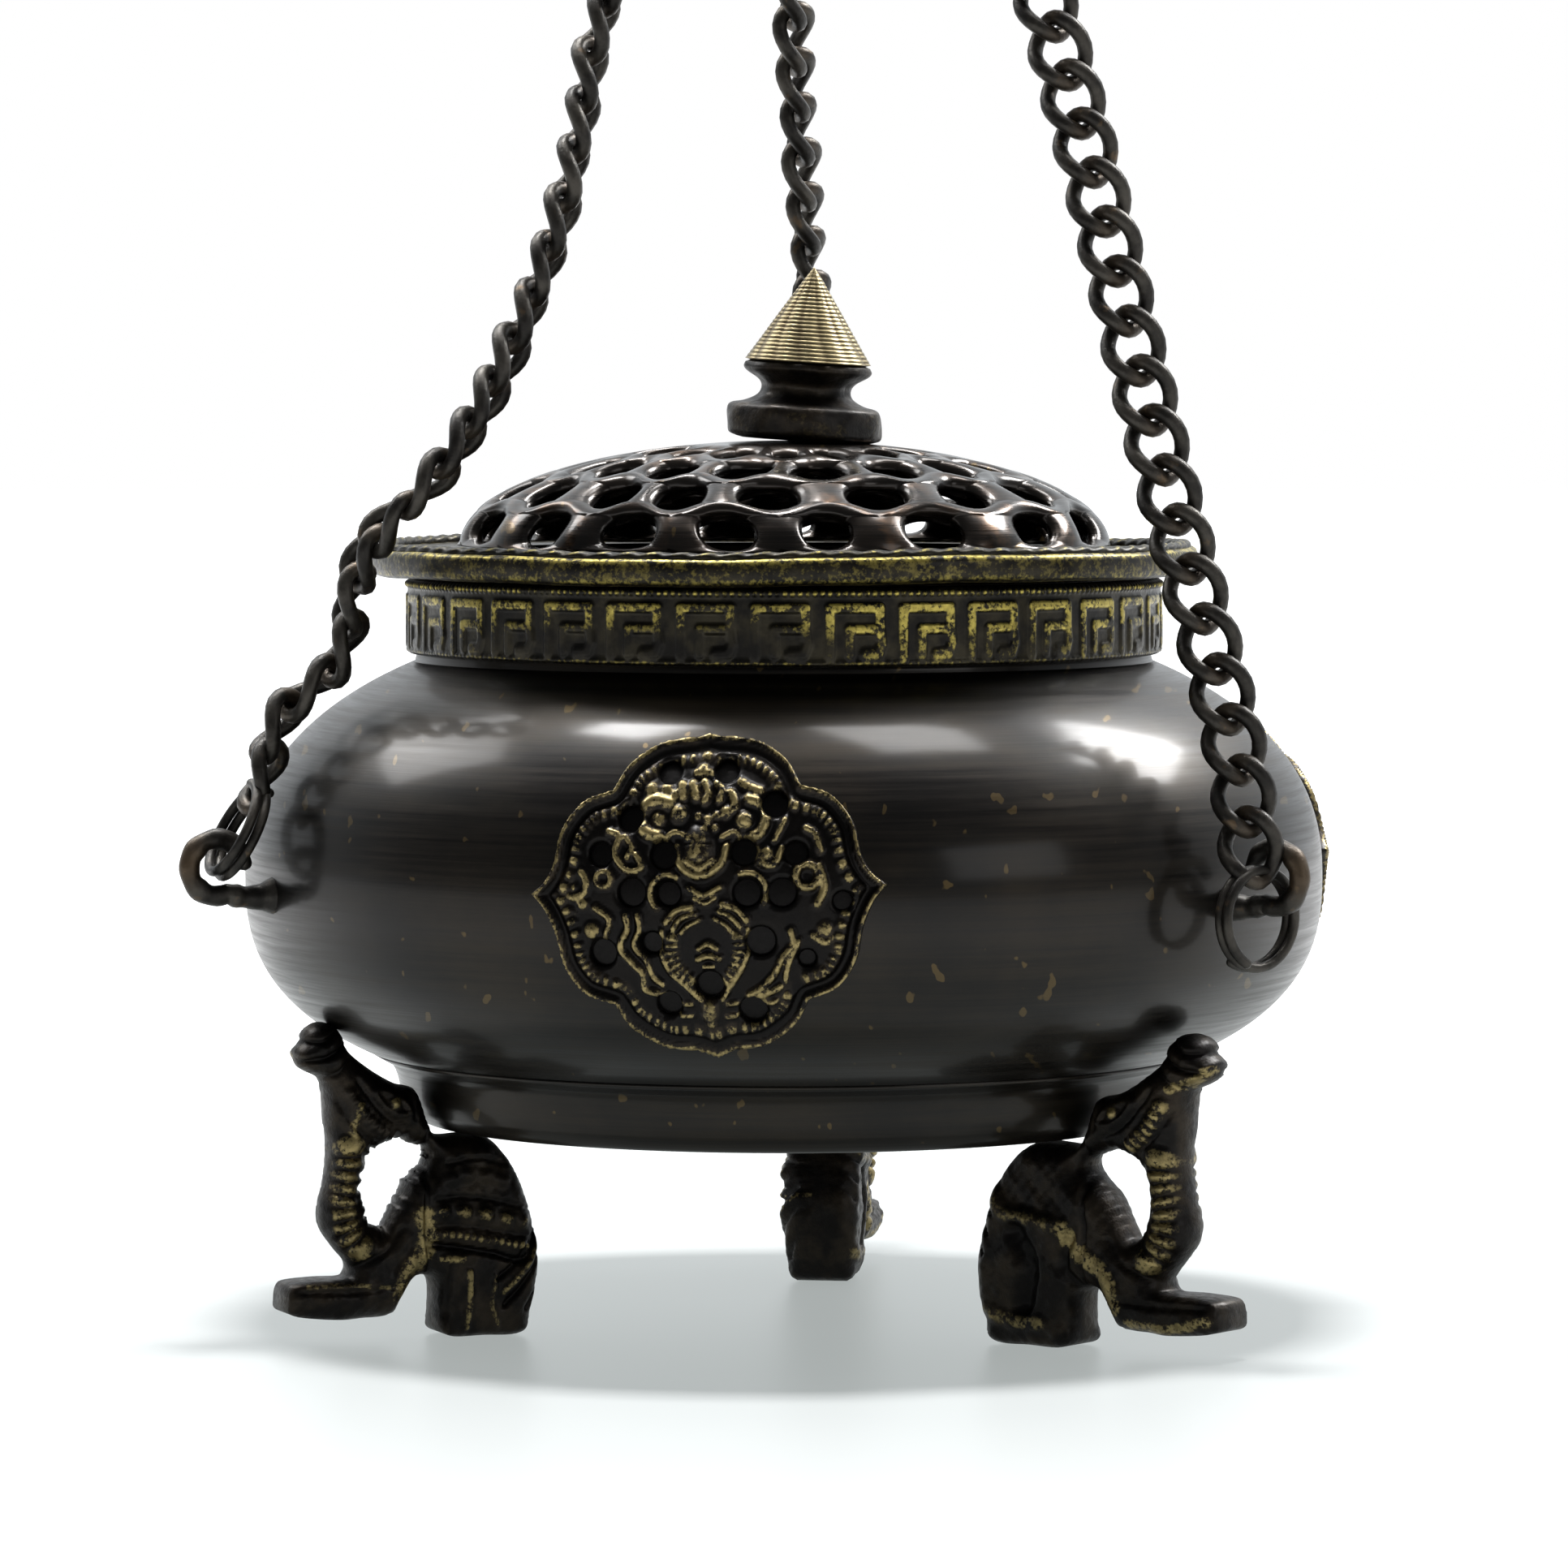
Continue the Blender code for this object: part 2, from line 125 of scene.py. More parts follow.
def smooth_line(points: Sequence[Point] | Array, per_span: int = 12, closed: bool = False) -> Array:
    """Samples the Catmull-Rom curve through the points.

    Between points b and c, with neighbours a and d, the curve is half of
    2b + (c - a)t + (2a - 5b + 4c - d)t^2 + (3b - a - 3c + d)t^3.

    Args:
        points: The points it goes through, in two or three dimensions.
        per_span: Samples from each point to the next.
        closed: Whether the curve comes back to its first point.

    Returns:
        The samples, with the last point included on an open curve.
    """
    given = np.array(points, float)
    if closed:
        ends = np.vstack([given[-1:], given, given[:2]])
    else:
        ends = np.vstack([2 * given[:1] - given[1:2], given, 2 * given[-1:] - given[-2:-1]])
    a, b, c, d = (ends[i : len(ends) - 3 + i, None, :] for i in range(4))
    t = np.linspace(0, 1, per_span, endpoint=False)[None, :, None]
    curve = 0.5 * (2 * b + (c - a) * t + (2 * a - 5 * b + 4 * c - d) * t**2 + (3 * b - a - 3 * c + d) * t**3)
    curve = curve.reshape(-1, given.shape[1])
    return curve if closed else np.vstack([curve, given[-1:]])


def spaced(line: Array, at: Array) -> Array:
    """Points at given distances along a line, which is carried on straight past its ends.

    Args:
        line: The line's points.
        at: The distances.

    Returns:
        A point for each distance.
    """
    along = np.concatenate([[0], np.cumsum(np.linalg.norm(np.diff(line, axis=0), axis=1))])
    inside = np.clip(at, 0, along[-1])
    found = np.stack([np.interp(inside, along, line[:, k]) for k in range(line.shape[1])], axis=1)
    first, last = unit(line[1] - line[0]), unit(line[-1] - line[-2])
    return found + np.minimum(at, 0)[:, None] * first + np.maximum(at - along[-1], 0)[:, None] * last


def length_of(line: Array) -> float:
    """The line's length."""
    return float(np.linalg.norm(np.diff(line, axis=0), axis=1).sum())


def nearest_on(points: Array, starts: Array, ends: Array) -> tuple[Array, Array, Array]:
    """Finds each point's nearest place on a set of straight segments.

    Args:
        points: The points, N by 2.
        starts: Where the segments start, M by 2.
        ends: Where they end, M by 2.

    Returns:
        The distance, the segment's number plus the share along it, and the nearest place itself.
    """
    span = ends - starts
    square = np.maximum((span**2).sum(1), 1e-12)
    share = np.clip(((points[:, None] - starts) * span).sum(-1) / square, 0, 1)
    place = starts + share[..., None] * span
    distance = np.linalg.norm(points[:, None] - place, axis=-1)
    best = distance.argmin(1)
    rows = np.arange(len(points))
    return distance[rows, best], best + share[rows, best], place[rows, best]


# ---------------------------------------------------------------------------------------------------- meshes


def grid_faces(rows: int, columns: int, wrap_rows: bool = False, wrap_columns: bool = False) -> Array:
    """Quads between the neighbours of a grid of points that is numbered row by row.

    They face along (next column) x (next row).

    Args:
        rows: Rows of points.
        columns: Points in each row.
        wrap_rows: Whether the last row joins the first.
        wrap_columns: Whether each row's last point joins its first.

    Returns:
        The quads, four point numbers each.
    """
    index = np.arange(rows * columns).reshape(rows, columns)
    if wrap_rows:
        index = np.vstack([index, index[:1]])
    if wrap_columns:
        index = np.hstack([index, index[:, :1]])
    corners = (index[:-1, :-1], index[:-1, 1:], index[1:, 1:], index[1:, :-1])
    return np.stack(corners, axis=-1).reshape(-1, 4)


@dataclass
class Shape:
    """Surfaces gathered into one piece: points in millimetres, quads, and each point's wear, which below 0 paints it
    near-black as painted shade.
    """

    points: list[Array] = field(default_factory=list)
    faces: list[Array] = field(default_factory=list)
    worn: list[Array] = field(default_factory=list)
    count: int = 0

    def add(self, points: Array, faces: Array, worn: Array | float = 0.0) -> None:
        """Adds a surface.

        Args:
            points: Its points, in an array of any shape whose last axis is x, y, z.
            faces: Its quads, numbered from its own first point.
            worn: How far the patina is rubbed off, from 0 to 1, for each point or for all of them. Below 0 it paints
                the point near-black, which is painted shade on the plaques' backs and under their holes.
        """
        flat = points.reshape(-1, 3)
        self.points.append(flat)
        self.faces.append(faces + self.count)
        self.worn.append(np.broadcast_to(np.asarray(worn, float).reshape(-1), (len(flat),)))
        self.count += len(flat)

    def build(self, name: str, finish: "Finish", body: Body, stands_for: Sequence[str], slot: str,
              weld: float = 0.0) -> bpy.types.Object:
        """Makes the piece.

        Args:
            name: The object's name.
            finish: The finish that dresses it.
            body: The moving body it rides on.
            stands_for: The CAD nodes it replaces.
            slot: The record's material slot; not used.
            weld: Points closer than this, in millimetres, become one. 0 leaves them.

        Returns:
            The finished object, at the origin.
        """
        mesh = bpy.data.meshes.new(name)
        points, faces = np.vstack(self.points) * MM, np.vstack(self.faces)
        mesh.vertices.add(len(points))
        mesh.vertices.foreach_set("co", points.astype(np.float32).ravel())
        mesh.loops.add(faces.size)
        mesh.loops.foreach_set("vertex_index", faces.astype(np.int32).ravel())
        mesh.polygons.add(len(faces))
        mesh.polygons.foreach_set("loop_start", np.arange(0, faces.size, 4, dtype=np.int32))
        mesh.update(calc_edges=True)
        worn = mesh.attributes.new("worn", "FLOAT", "POINT")
        worn.data.foreach_set("value", np.concatenate(self.worn).astype(np.float32))
        if weld:
            work = bmesh.new()
            work.from_mesh(mesh)
            bmesh.ops.remove_doubles(work, verts=work.verts, dist=weld * MM)
            bmesh.ops.dissolve_degenerate(work, edges=work.edges, dist=1e-8)
            work.to_mesh(mesh)
            work.free()
        mesh.validate()
        mesh.polygons.foreach_set("use_smooth", np.ones(len(mesh.polygons), bool))
        mesh.materials.append(finish.material())
        piece = bpy.data.objects.new(name, mesh)
        bpy.context.scene.collection.objects.link(piece)
        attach(piece, body.value)
        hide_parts(*stands_for)
        log.info("%s: %d faces on %s, for %s", name, len(mesh.polygons), body.value, ", ".join(stands_for))
        return piece


def turned(profile: Array, columns: int, closed: bool = True,
           worn: Array | float = 0.0) -> tuple[Array, Array, Array]:
    """A surface of revolution: each profile point (r, z) goes round the axis as (r cos a, r sin a, z).

    Args:
        profile: Points (r, z) that go up the outer side and down the inner one.
        columns: Points round the axis.
        closed: Whether the profile joins its own start, as a ring's does.
        worn: Wear for each profile point, or for all.

    Returns:
        The points, row by row of the profile, the quads, and the wear of each point.
    """
    angle = np.linspace(0, 2 * math.pi, columns, endpoint=False)
    r, z = profile[:, 0, None], profile[:, 1, None]
    points = np.stack([r * np.cos(angle), r * np.sin(angle), z + 0 * angle], axis=-1)
    rows_worn = np.broadcast_to(np.asarray(worn, float), (len(profile),))
    return points, grid_faces(len(profile), columns, closed, True), np.repeat(rows_worn, columns)


def rounded(profile: Sequence[Point], radius: float, steps: int = 4) -> Array:
    """Rounds each corner of a closed profile.

    The corner becomes a quadratic Bezier arc between the two points that lie radius, or a third of the side, from it.

    Args:
        profile: The corners.
        radius: How far from the corner the arc starts.
        steps: Points in each arc.

    Returns:
        The rounded profile.
    """
    points = np.array(profile, float)
    before, after = np.roll(points, 1, 0) - points, np.roll(points, -1, 0) - points
    back = np.minimum(radius, np.linalg.norm(before, axis=1) / 3)[:, None]
    on = np.minimum(radius, np.linalg.norm(after, axis=1) / 3)[:, None]
    a, c = points + unit(before) * back, points + unit(after) * on
    t = np.linspace(0, 1, steps)[None, :, None]
    arc = (1 - t) ** 2 * a[:, None] + 2 * t * (1 - t) * points[:, None] + t**2 * c[:, None]
    return arc.reshape(-1, 2)


def tube(path: Array, radius: Array | float, across: Array, sides: int = 12,
         closed: bool = False) -> tuple[Array, Array]:
    """A round bar along a path.

    At each path point the section is radius * (n cos a + b sin a), where n is across less its part along the path and
    b is the path's direction x n. An open bar ends in a small dome: its section shrinks as a circle's does.

    Args:
        path: The path's points, with any leading axes for several bars at once, as (..., points, 3).
        radius: The bar's radius, for each point or for all.
        across: A vector that is never along the path, for each bar or for all.
        sides: Points round the section.
        closed: Whether the path joins its own start.

    Returns:
        The points of every bar, and the quads.
    """
    if closed:
        ahead = np.roll(path, -1, -2) - np.roll(path, 1, -2)
    else:
        ahead = np.gradient(path, axis=-2)
    ahead = unit(ahead)
    radius = np.broadcast_to(np.asarray(radius, float), path.shape[:-1])
    if not closed:
        rings = 4
        turn = np.linspace(0, 1, rings + 1)[:-1]
        cap = np.sqrt(1 - (1 - turn) ** 2) + 1e-3
        first = path[..., :1, :] - ahead[..., :1, :] * (1 - turn)[:, None] * radius[..., :1, None]
        last = path[..., -1:, :] + ahead[..., -1:, :] * (1 - turn[::-1])[:, None] * radius[..., -1:, None]
        path = np.concatenate([first, path, last], axis=-2)
        before, after = (np.repeat(ahead[..., k, :], rings, -2) for k in (slice(0, 1), slice(-1, None)))
        ahead = np.concatenate([before, ahead, after], axis=-2)
        radius = np.concatenate([radius[..., :1] * cap, radius, radius[..., -1:] * cap[::-1]], axis=-1)
    normal = unit(across - (across * ahead).sum(-1, keepdims=True) * ahead)
    other = np.cross(ahead, normal)
    angle = np.linspace(0, 2 * math.pi, sides, endpoint=False)[:, None]
    section = normal[..., None, :] * np.cos(angle) + other[..., None, :] * np.sin(angle)
    points = path[..., None, :] + section * radius[..., None, None]
    rows = points.shape[-3]
    faces = grid_faces(rows, sides, closed, True)
    if not closed:
        fan = np.arange(1, sides - 1, 2)
        start = np.stack([0 * fan, fan + 2, fan + 1, fan], axis=-1)
        end = start[:, ::-1] + (rows - 1) * sides
        faces = np.vstack([faces, start, end])
    bars = int(np.prod(points.shape[:-3], dtype=int))
    every = faces[None] + (np.arange(bars) * rows * sides)[:, None, None]
    return points, every.reshape(-1, 4)


# ---------------------------------------------------------------------------------------------------- relief


@dataclass(frozen=True)
class Mark:
    """One line of relief on a sheet: raised where height is above 0, cut where it is below.

    Its section is height * (1 - (distance / width)^2). With a pitch it is a row of beads or ribs, because the height
    is multiplied by |cos(pi * distance along / pitch)|.
    """

    points: tuple[Point, ...]
    width: float
    height: float
    pitch: float = 0.0
    worn: float = 1.0

    def over(self, places: Array) -> tuple[Array, Array]:
        """Lays the mark on a sheet.

        Args:
            places: The sheet's points, N by 2.

        Returns:
            The height and the wear that the mark gives each point.
        """
        height, worn = np.zeros(len(places)), np.zeros(len(places))
        line = smooth_line(self.points, 8) if len(self.points) > 1 else np.array(self.points * 2, float)
        low, high = line.min(0) - self.width, line.max(0) + self.width
        close = np.flatnonzero(((places > low) & (places < high)).all(1))
        if not len(close):
            return height, worn
        distance, share, _ = nearest_on(places[close], line[:-1], line[1:])
        bump = np.maximum(1 - (distance / self.width) ** 2, 0)
        if self.pitch:
            steps = np.concatenate([[0], np.cumsum(np.linalg.norm(np.diff(line, axis=0), axis=1))])
            along = np.interp(share, np.arange(len(steps)), steps)
            bump = bump * np.abs(np.cos(math.pi * along / self.pitch))
        height[close] = self.height * bump
        worn[close] = self.worn * bump * (self.height >= 0)
        return height, worn


def ring_mark(x: float, y: float, radius: float, width: float = 0.32, height: float = 0.4,
              start: float = 0.0, end: float = 360.0) -> Mark:
    """A mark along a circle, or along the part of it from start to end in degrees."""
    turn = np.radians(np.linspace(start, end, 10))
    return Mark(tuple(zip(x + radius * np.cos(turn), y + radius * np.sin(turn))), width, height)


def dot(x: float, y: float, radius: float, height: float = 0.5) -> Mark:
    """A round boss."""
    return Mark(((x, y),), radius, height)


def relief(places: Array, marks: Sequence[Mark]) -> tuple[Array, Array]:
    """Lays marks over one another: the highest raised one shows, and then the deepest cut is taken from it.

    Args:
        places: The sheet's points, N by 2.
        marks: The marks.

    Returns:
        Each point's height, and its wear, which is below 0 in a cut.
    """
    up, down, worn = np.zeros(len(places)), np.zeros(len(places)), np.zeros(len(places))
    for mark in marks:
        height, wear = mark.over(places)
        up, down, worn = np.maximum(up, height), np.minimum(down, height), np.maximum(worn, wear)
    return up + down, worn + 0.8 * down * (worn < 0.3)


@dataclass
class Sheet:
    """A flat sheet cut to closed outlines, the inner ones being holes, with a surface on both faces.

    Its mesh is a square grid. Cells whose middle is inside are kept, and their border points are moved to the
    nearest place on the outline.
    """

    loops: Sequence[Array]
    step: float

    def __post_init__(self) -> None:
        """Cuts the grid."""
        starts = np.vstack(self.loops)
        ends = np.vstack([np.roll(loop, -1, 0) for loop in self.loops])
        low, high = starts.min(0) - 1.5 * self.step, starts.max(0) + 1.5 * self.step
        x, y = (np.arange(low[k], high[k] + self.step, self.step) for k in range(2))
        grid = np.stack(np.meshgrid(x, y), axis=-1)
        middle = (grid[:-1, :-1] + self.step / 2).reshape(-1, 2)
        kept = grid_faces(len(y), len(x))[self.inside(middle, starts, ends)]
        used, index = np.unique(kept, return_inverse=True)
        self.faces = index.reshape(-1, 4)
        self.places = grid.reshape(-1, 2)[used]
        edges = np.stack([self.faces, np.roll(self.faces, -1, 1)], axis=-1).reshape(-1, 2)
        key = np.sort(edges, axis=1)
        _, first, uses = np.unique(key, axis=0, return_index=True, return_counts=True)
        self.border = edges[first[uses == 1]]
        self.inset, _, nearest = nearest_on(self.places, starts, ends)
        rim = np.unique(self.border)
        self.places[rim] = nearest[rim]
        self.inset[rim] = 0.0

    @staticmethod
    def inside(places: Array, starts: Array, ends: Array) -> Array:
        """Finds the places inside the outlines: a line drawn right from one crosses them an odd number of times.

        Args:
            places: The places, N by 2.
            starts: Where the outlines' segments start, M by 2.
            ends: Where they end, M by 2.

        Returns:
            Whether each place is inside.
        """
        x, y = places[:, 0, None], places[:, 1, None]
        crosses = (starts[:, 1] > y) != (ends[:, 1] > y)
        rise = np.where(ends[:, 1] == starts[:, 1], 1, ends[:, 1] - starts[:, 1])
        at = starts[:, 0] + (y - starts[:, 1]) * (ends[:, 0] - starts[:, 0]) / rise
        return (crosses & (x < at)).sum(1) % 2 == 1

    def solid(self, front: Array, back: Array, wrap: Callable[[Array, Array], Array]) -> tuple[Array, Array]:
        """Closes the sheet between two surfaces.

        Args:
            front: The front's height at each place.
            back: The back's height, which is the lower.
            wrap: Gives the point in space for places and heights.

        Returns:
            The points, those of the front and then of the back, and the quads.
        """
        n = len(self.places)
        a, b = self.border[:, 0], self.border[:, 1]
        walls = np.stack([a + n, b + n, b, a], axis=-1)
        faces = np.vstack([self.faces, self.faces[:, ::-1] + n, walls])
        return np.vstack([wrap(self.places, front), wrap(self.places, back)]), faces


# ---------------------------------------------------------------------------------------------------- finishes


class Sock:
    """A shader value that takes part in Python sums. Each operator adds its Math node."""

    def __init__(self, nodes: "Nodes", socket: bpy.types.NodeSocket) -> None:
        """Wraps one output socket of the tree."""
        self.nodes, self.socket = nodes, socket

    def math(self, operation: str, *others: "Sock | float", swap: bool = False) -> "Sock":
        """The Math node for an operation, with this value first, or last if swapped."""
        values = [self, *others][:: -1 if swap else 1]
        return self.nodes.add("ShaderNodeMath", {"operation": operation}, dict(enumerate(values)))

    def __add__(self, other: "Sock | float") -> "Sock":
        """Sum."""
        return self.math("ADD", other)

    def __sub__(self, other: "Sock | float") -> "Sock":
        """Difference."""
        return self.math("SUBTRACT", other)

    def __rsub__(self, other: float) -> "Sock":
        """Difference, with this value taken away."""
        return self.math("SUBTRACT", other, swap=True)

    def __mul__(self, other: "Sock | float") -> "Sock":
        """Product."""
        return self.math("MULTIPLY", other)

    __radd__, __rmul__ = __add__, __mul__

    def ramp(self, low: float, high: float, start: float = 0.0, end: float = 1.0) -> "Sock":
        """start below low, end above high, and an S-curve between them."""
        settings = {"interpolation_type": "SMOOTHSTEP"}
        return self.nodes.add("ShaderNodeMapRange", settings, {0: self, 1: low, 2: high, 3: start, 4: end})

    def clamp(self) -> "Sock":
        """The value kept from 0 to 1."""
        return self.nodes.add("ShaderNodeClamp", {}, {0: self})


class Nodes:
    """Builds one material's node tree."""

    def __init__(self, name: str) -> None:
        """Makes an empty material with its Principled shader.

        Args:
            name: The material's name.
        """
        self.made = bpy.data.materials.new(name)
        self.made.use_nodes = True
        self.tree = self.made.node_tree
        self.shader = self.tree.nodes["Principled BSDF"]

    def add(self, kind: str, settings: dict[str, object], inputs: dict[int | str, object],
            output: int | str = 0) -> Sock:
        """Adds a node.

        Args:
            kind: The node's type.
            settings: Its properties, set first.
            inputs: Values or links by the socket's name or number.
            output: The output that is returned.

        Returns:
            That output, ready for sums.
        """
        node = self.tree.nodes.new(kind)
        for key, value in settings.items():
            setattr(node, key, value)
        for key, value in inputs.items():
            self.put(node.inputs[key], value)
        return Sock(self, node.outputs[output])

    def put(self, socket: bpy.types.NodeSocket, value: object) -> None:
        """Links a Sock to the socket, or sets the value on it.

        Args:
            socket: The input socket.
            value: The Sock, number or colour.
        """
        if isinstance(value, Sock):
            self.tree.links.new(value.socket, socket)
        else:
            socket.default_value = value

    def place(self, scale: Point = (1, 1, 1)) -> Sock:
        """The point on the object, in millimetres times scale."""
        where = self.add("ShaderNodeTexCoord", {}, {}, "Object")
        return self.add("ShaderNodeMapping", {}, {"Vector": where, "Scale": tuple(1000 * s for s in scale)})

    def noise(self, scale: Point | float, detail: float = 3.0, roughness: float = 0.55) -> Sock:
        """Cloudy noise from 0 to 1.

        Args:
            scale: Cells to the millimetre, the same all ways or along X, Y and Z.
            detail: How many finer layers it has.
            roughness: How strong the finer layers are.

        Returns:
            The noise.
        """
        scales = scale if isinstance(scale, tuple) else (scale,) * 3
        sockets = {"Vector": self.place(scales), "Scale": 1.0, "Detail": detail, "Roughness": roughness}
        return self.add("ShaderNodeTexNoise", {}, sockets)

    def specks(self, scale: float, size: float) -> Sock:
        """1 in small round spots, one at most in each cell, and 0 elsewhere."""
        sockets = {"Vector": self.place((scale,) * 3), "Scale": 1.0}
        return self.add("ShaderNodeTexVoronoi", {"feature": "F1"}, sockets).ramp(0.4 * size, size, 1.0, 0.0)

    def worn(self) -> Sock:
        """The mesh's own wear, which below 0 paints the colour darker: painted shade under the plaques' holes."""
        return self.add("ShaderNodeAttribute", {"attribute_name": "worn"}, {}, "Fac")

    def mix(self, share: Sock, first: object, second: object) -> Sock:
        """A colour that goes from the first to the second as share goes from 0 to 1."""
        settings = {"data_type": "RGBA", "clamp_factor": True}
        return self.add("ShaderNodeMix", settings, {0: share, 6: first, 7: second}, 2)

    def bump(self, height: Sock, depth: float, strength: float = 1.0) -> Sock:
        """Shading of a surface that stands up to depth millimetres proud where height is 1."""
        return self.add("ShaderNodeBump", {}, {"Strength": strength, "Distance": depth * MM, "Height": height})

    def finish(self, **sockets: object) -> bpy.types.Material:
        """Sets the shader's sockets.

        Args:
            sockets: Values or links by the socket's name, with _ for each space.

        Returns:
            The material.
        """
        for name, value in sockets.items():
            self.put(self.shader.inputs[name.replace("_", " ").title().replace("Ior", "IOR")], value)
        return self.made


def rgba(red: float, green: float, blue: float) -> Point:
    """An opaque colour."""
    return red, green, blue, 1.0


@dataclass(frozen=True)
class Finish:
    """A finish, whose material is made once."""

    name: str

    def material(self) -> bpy.types.Material:
        """The finish's material."""
        return bpy.data.materials.get(self.name) or self.paint(Nodes(self.name))

    def paint(self, nodes: Nodes) -> bpy.types.Material:
        """Builds the shader."""
        raise NotImplementedError


@dataclass(frozen=True)
class PolishedPatina(Finish):
    """Brown-black patina over spun brass: fine rings from the lathe, cloudy colour, scratches and bright specks."""

    dark: Point = rgba(0.0062, 0.0055, 0.0048)
    brown: Point = rgba(0.0185, 0.0145, 0.0098)
    copper: Point = rgba(0.14, 0.065, 0.030)
    brass: Point = rgba(0.45, 0.30, 0.10)
    roughness: float = 0.27
    rings: float = 0.015
    coat: float = 0.24

    def paint(self, nodes: Nodes) -> bpy.types.Material:
        """Builds the shader.

        Args:
            nodes: The material's empty tree.

        Returns:
            The material.
        """
        cloud = nodes.noise(0.055, 4.0)
        streak = nodes.noise((0.035, 0.035, 1.6), 4.0, 0.7)
        lathe = nodes.noise((0.02, 0.02, 7.0), 2.0)
        scratch = nodes.noise((0.5, 0.12, 0.35), 2.0, 0.4).ramp(0.695, 0.72)
        speck = nodes.specks(0.24, 0.03) * nodes.noise(0.12, 2.0).ramp(0.60, 0.67)
        shade = (cloud * 0.6 + streak * 0.4).ramp(0.36, 0.68)
        colour = nodes.mix(shade, self.dark, self.brown)
        colour = nodes.mix(nodes.worn() * nodes.noise(0.35, 4.0).ramp(0.4, 0.62), colour, self.copper)
        colour = nodes.mix((speck * 0.5 + scratch * 0.12).clamp(), colour, self.brass)
        rough = self.roughness + 0.16 * streak.ramp(0.3, 0.75) + 0.05 * lathe + 0.06 * cloud
        shine = nodes.bump(lathe * 0.6 + streak * 0.4, self.rings)
        return nodes.finish(base_color=colour, metallic=0.88, roughness=rough, normal=shine,
                            coat_weight=self.coat, coat_roughness=0.14)


@dataclass(frozen=True)
class CastPatina(Finish):
    """Dark patina on rough cast or struck work, with the metal showing where the mesh says it is rubbed, and
    near-black painted shade where its value is below 0.
    """

    dark: Point = rgba(0.0058, 0.0046, 0.0038)
    brown: Point = rgba(0.024, 0.0178, 0.0115)
    brass: Point = rgba(0.30, 0.235, 0.100)
    grain: float = 0.2
    grain_scale: float = 1.1
    rubbed: float = 1.0
    roughness: float = 0.42

    def paint(self, nodes: Nodes) -> bpy.types.Material:
        """Builds the shader.

        Args:
            nodes: The material's empty tree.

        Returns:
            The material.
        """
        cloud = nodes.noise(0.3, 4.0)
        fine = nodes.noise(self.grain_scale, 5.0, 0.62)
        patch = nodes.noise(0.62, 5.0, 0.7) * 0.5 + nodes.noise(2.1, 3.0, 0.6) * 0.5
        colour = nodes.mix(cloud.ramp(0.38, 0.68), self.dark, self.brown)
        bare = (nodes.worn() * self.rubbed * patch.ramp(0.36, 0.60, 0.15, 1.2)).ramp(0.22, 0.80)
        metal = nodes.mix(fine.ramp(0.35, 0.7), self.brass, tuple(c * 0.55 for c in self.brass[:3]) + (1.0,))
        colour = nodes.mix(bare, colour, metal)
        # Below 0 the value paints the colour near-black: painted shade on the plaques' backs and on the sheets under
        # their holes. Cuts in the relief and the plaques' flat ground go darker the same way.
        colour = nodes.mix((0.0 - nodes.worn() * 1.5).clamp(), colour, rgba(0.0022, 0.0015, 0.0012))
        rough = self.roughness + 0.22 * fine.ramp(0.3, 0.8) - 0.06 * bare
        return nodes.finish(base_color=colour, metallic=0.9, roughness=rough,
                            normal=nodes.bump(fine * 0.7 + cloud * 0.3, self.grain), coat_weight=0.12,
                            coat_roughness=0.25)


@dataclass(frozen=True)
class TurnedBrass(Finish):
    """Bare pale brass with brown tarnish lying in its grooves."""

    pale: Point = rgba(0.205, 0.168, 0.092)
    dull: Point = rgba(0.046, 0.032, 0.017)

    def paint(self, nodes: Nodes) -> bpy.types.Material:
        """Builds the shader.

        Args:
            nodes: The material's empty tree.

        Returns:
            The material.
        """
        cloud = nodes.noise(0.32, 4.0, 0.6)
        fine = nodes.noise(2.2, 3.0)
        bare = (nodes.worn() * 0.75 + cloud * 0.55).ramp(0.34, 0.86)
        colour = nodes.mix(bare, self.dull, self.pale)
        return nodes.finish(base_color=colour, metallic=1.0, roughness=0.46 - 0.16 * bare + 0.12 * fine,
                            normal=nodes.bump(fine, 0.03))


@dataclass(frozen=True)
class WireBronze(Finish):
    """Dull grey-brown oxide on drawn wire, rubbed lighter where links meet."""

    dark: Point = rgba(0.013, 0.0115, 0.010)
    grey: Point = rgba(0.050, 0.045, 0.038)
    warm: Point = rgba(0.085, 0.058, 0.034)

    def paint(self, nodes: Nodes) -> bpy.types.Material:
        """Builds the shader.

        Args:
            nodes: The material's empty tree.

        Returns:
            The material.
        """
        cloud = nodes.noise(0.28, 4.0)
        fine = nodes.noise(2.6, 4.0, 0.6)
        colour = nodes.mix(cloud.ramp(0.35, 0.68), self.dark, self.grey)
        colour = nodes.mix((nodes.worn() + nodes.noise(0.5, 3.0).ramp(0.62, 0.78)).clamp(), colour, self.warm)
        return nodes.finish(base_color=colour, metallic=0.85, roughness=0.36 + 0.2 * fine,
                            normal=nodes.bump(fine, 0.05), coat_weight=0.1, coat_roughness=0.3)


POLISHED = PolishedPatina("polished_patina")
LID_PATINA = PolishedPatina("lid_patina", dark=rgba(0.0088, 0.0073, 0.0062), brown=rgba(0.027, 0.0195, 0.0145),
                            copper=rgba(0.12, 0.065, 0.032), roughness=0.17, rings=0.03, coat=0.35)
CAST = CastPatina("cast_patina")
STRUCK = CastPatina("struck_brass", grain=0.06, grain_scale=1.8, rubbed=1.1, roughness=0.36)
FRET = CastPatina("fret_brass", dark=rgba(0.0060, 0.0052, 0.0040), brown=rgba(0.026, 0.022, 0.013),
                  brass=rgba(0.42, 0.34, 0.075), grain=0.04, grain_scale=1.6, rubbed=0.95, roughness=0.34)
PALE = TurnedBrass("turned_brass")
WIRE = WireBronze("wire_bronze")


# ---------------------------------------------------------------------------------------------------- bowl


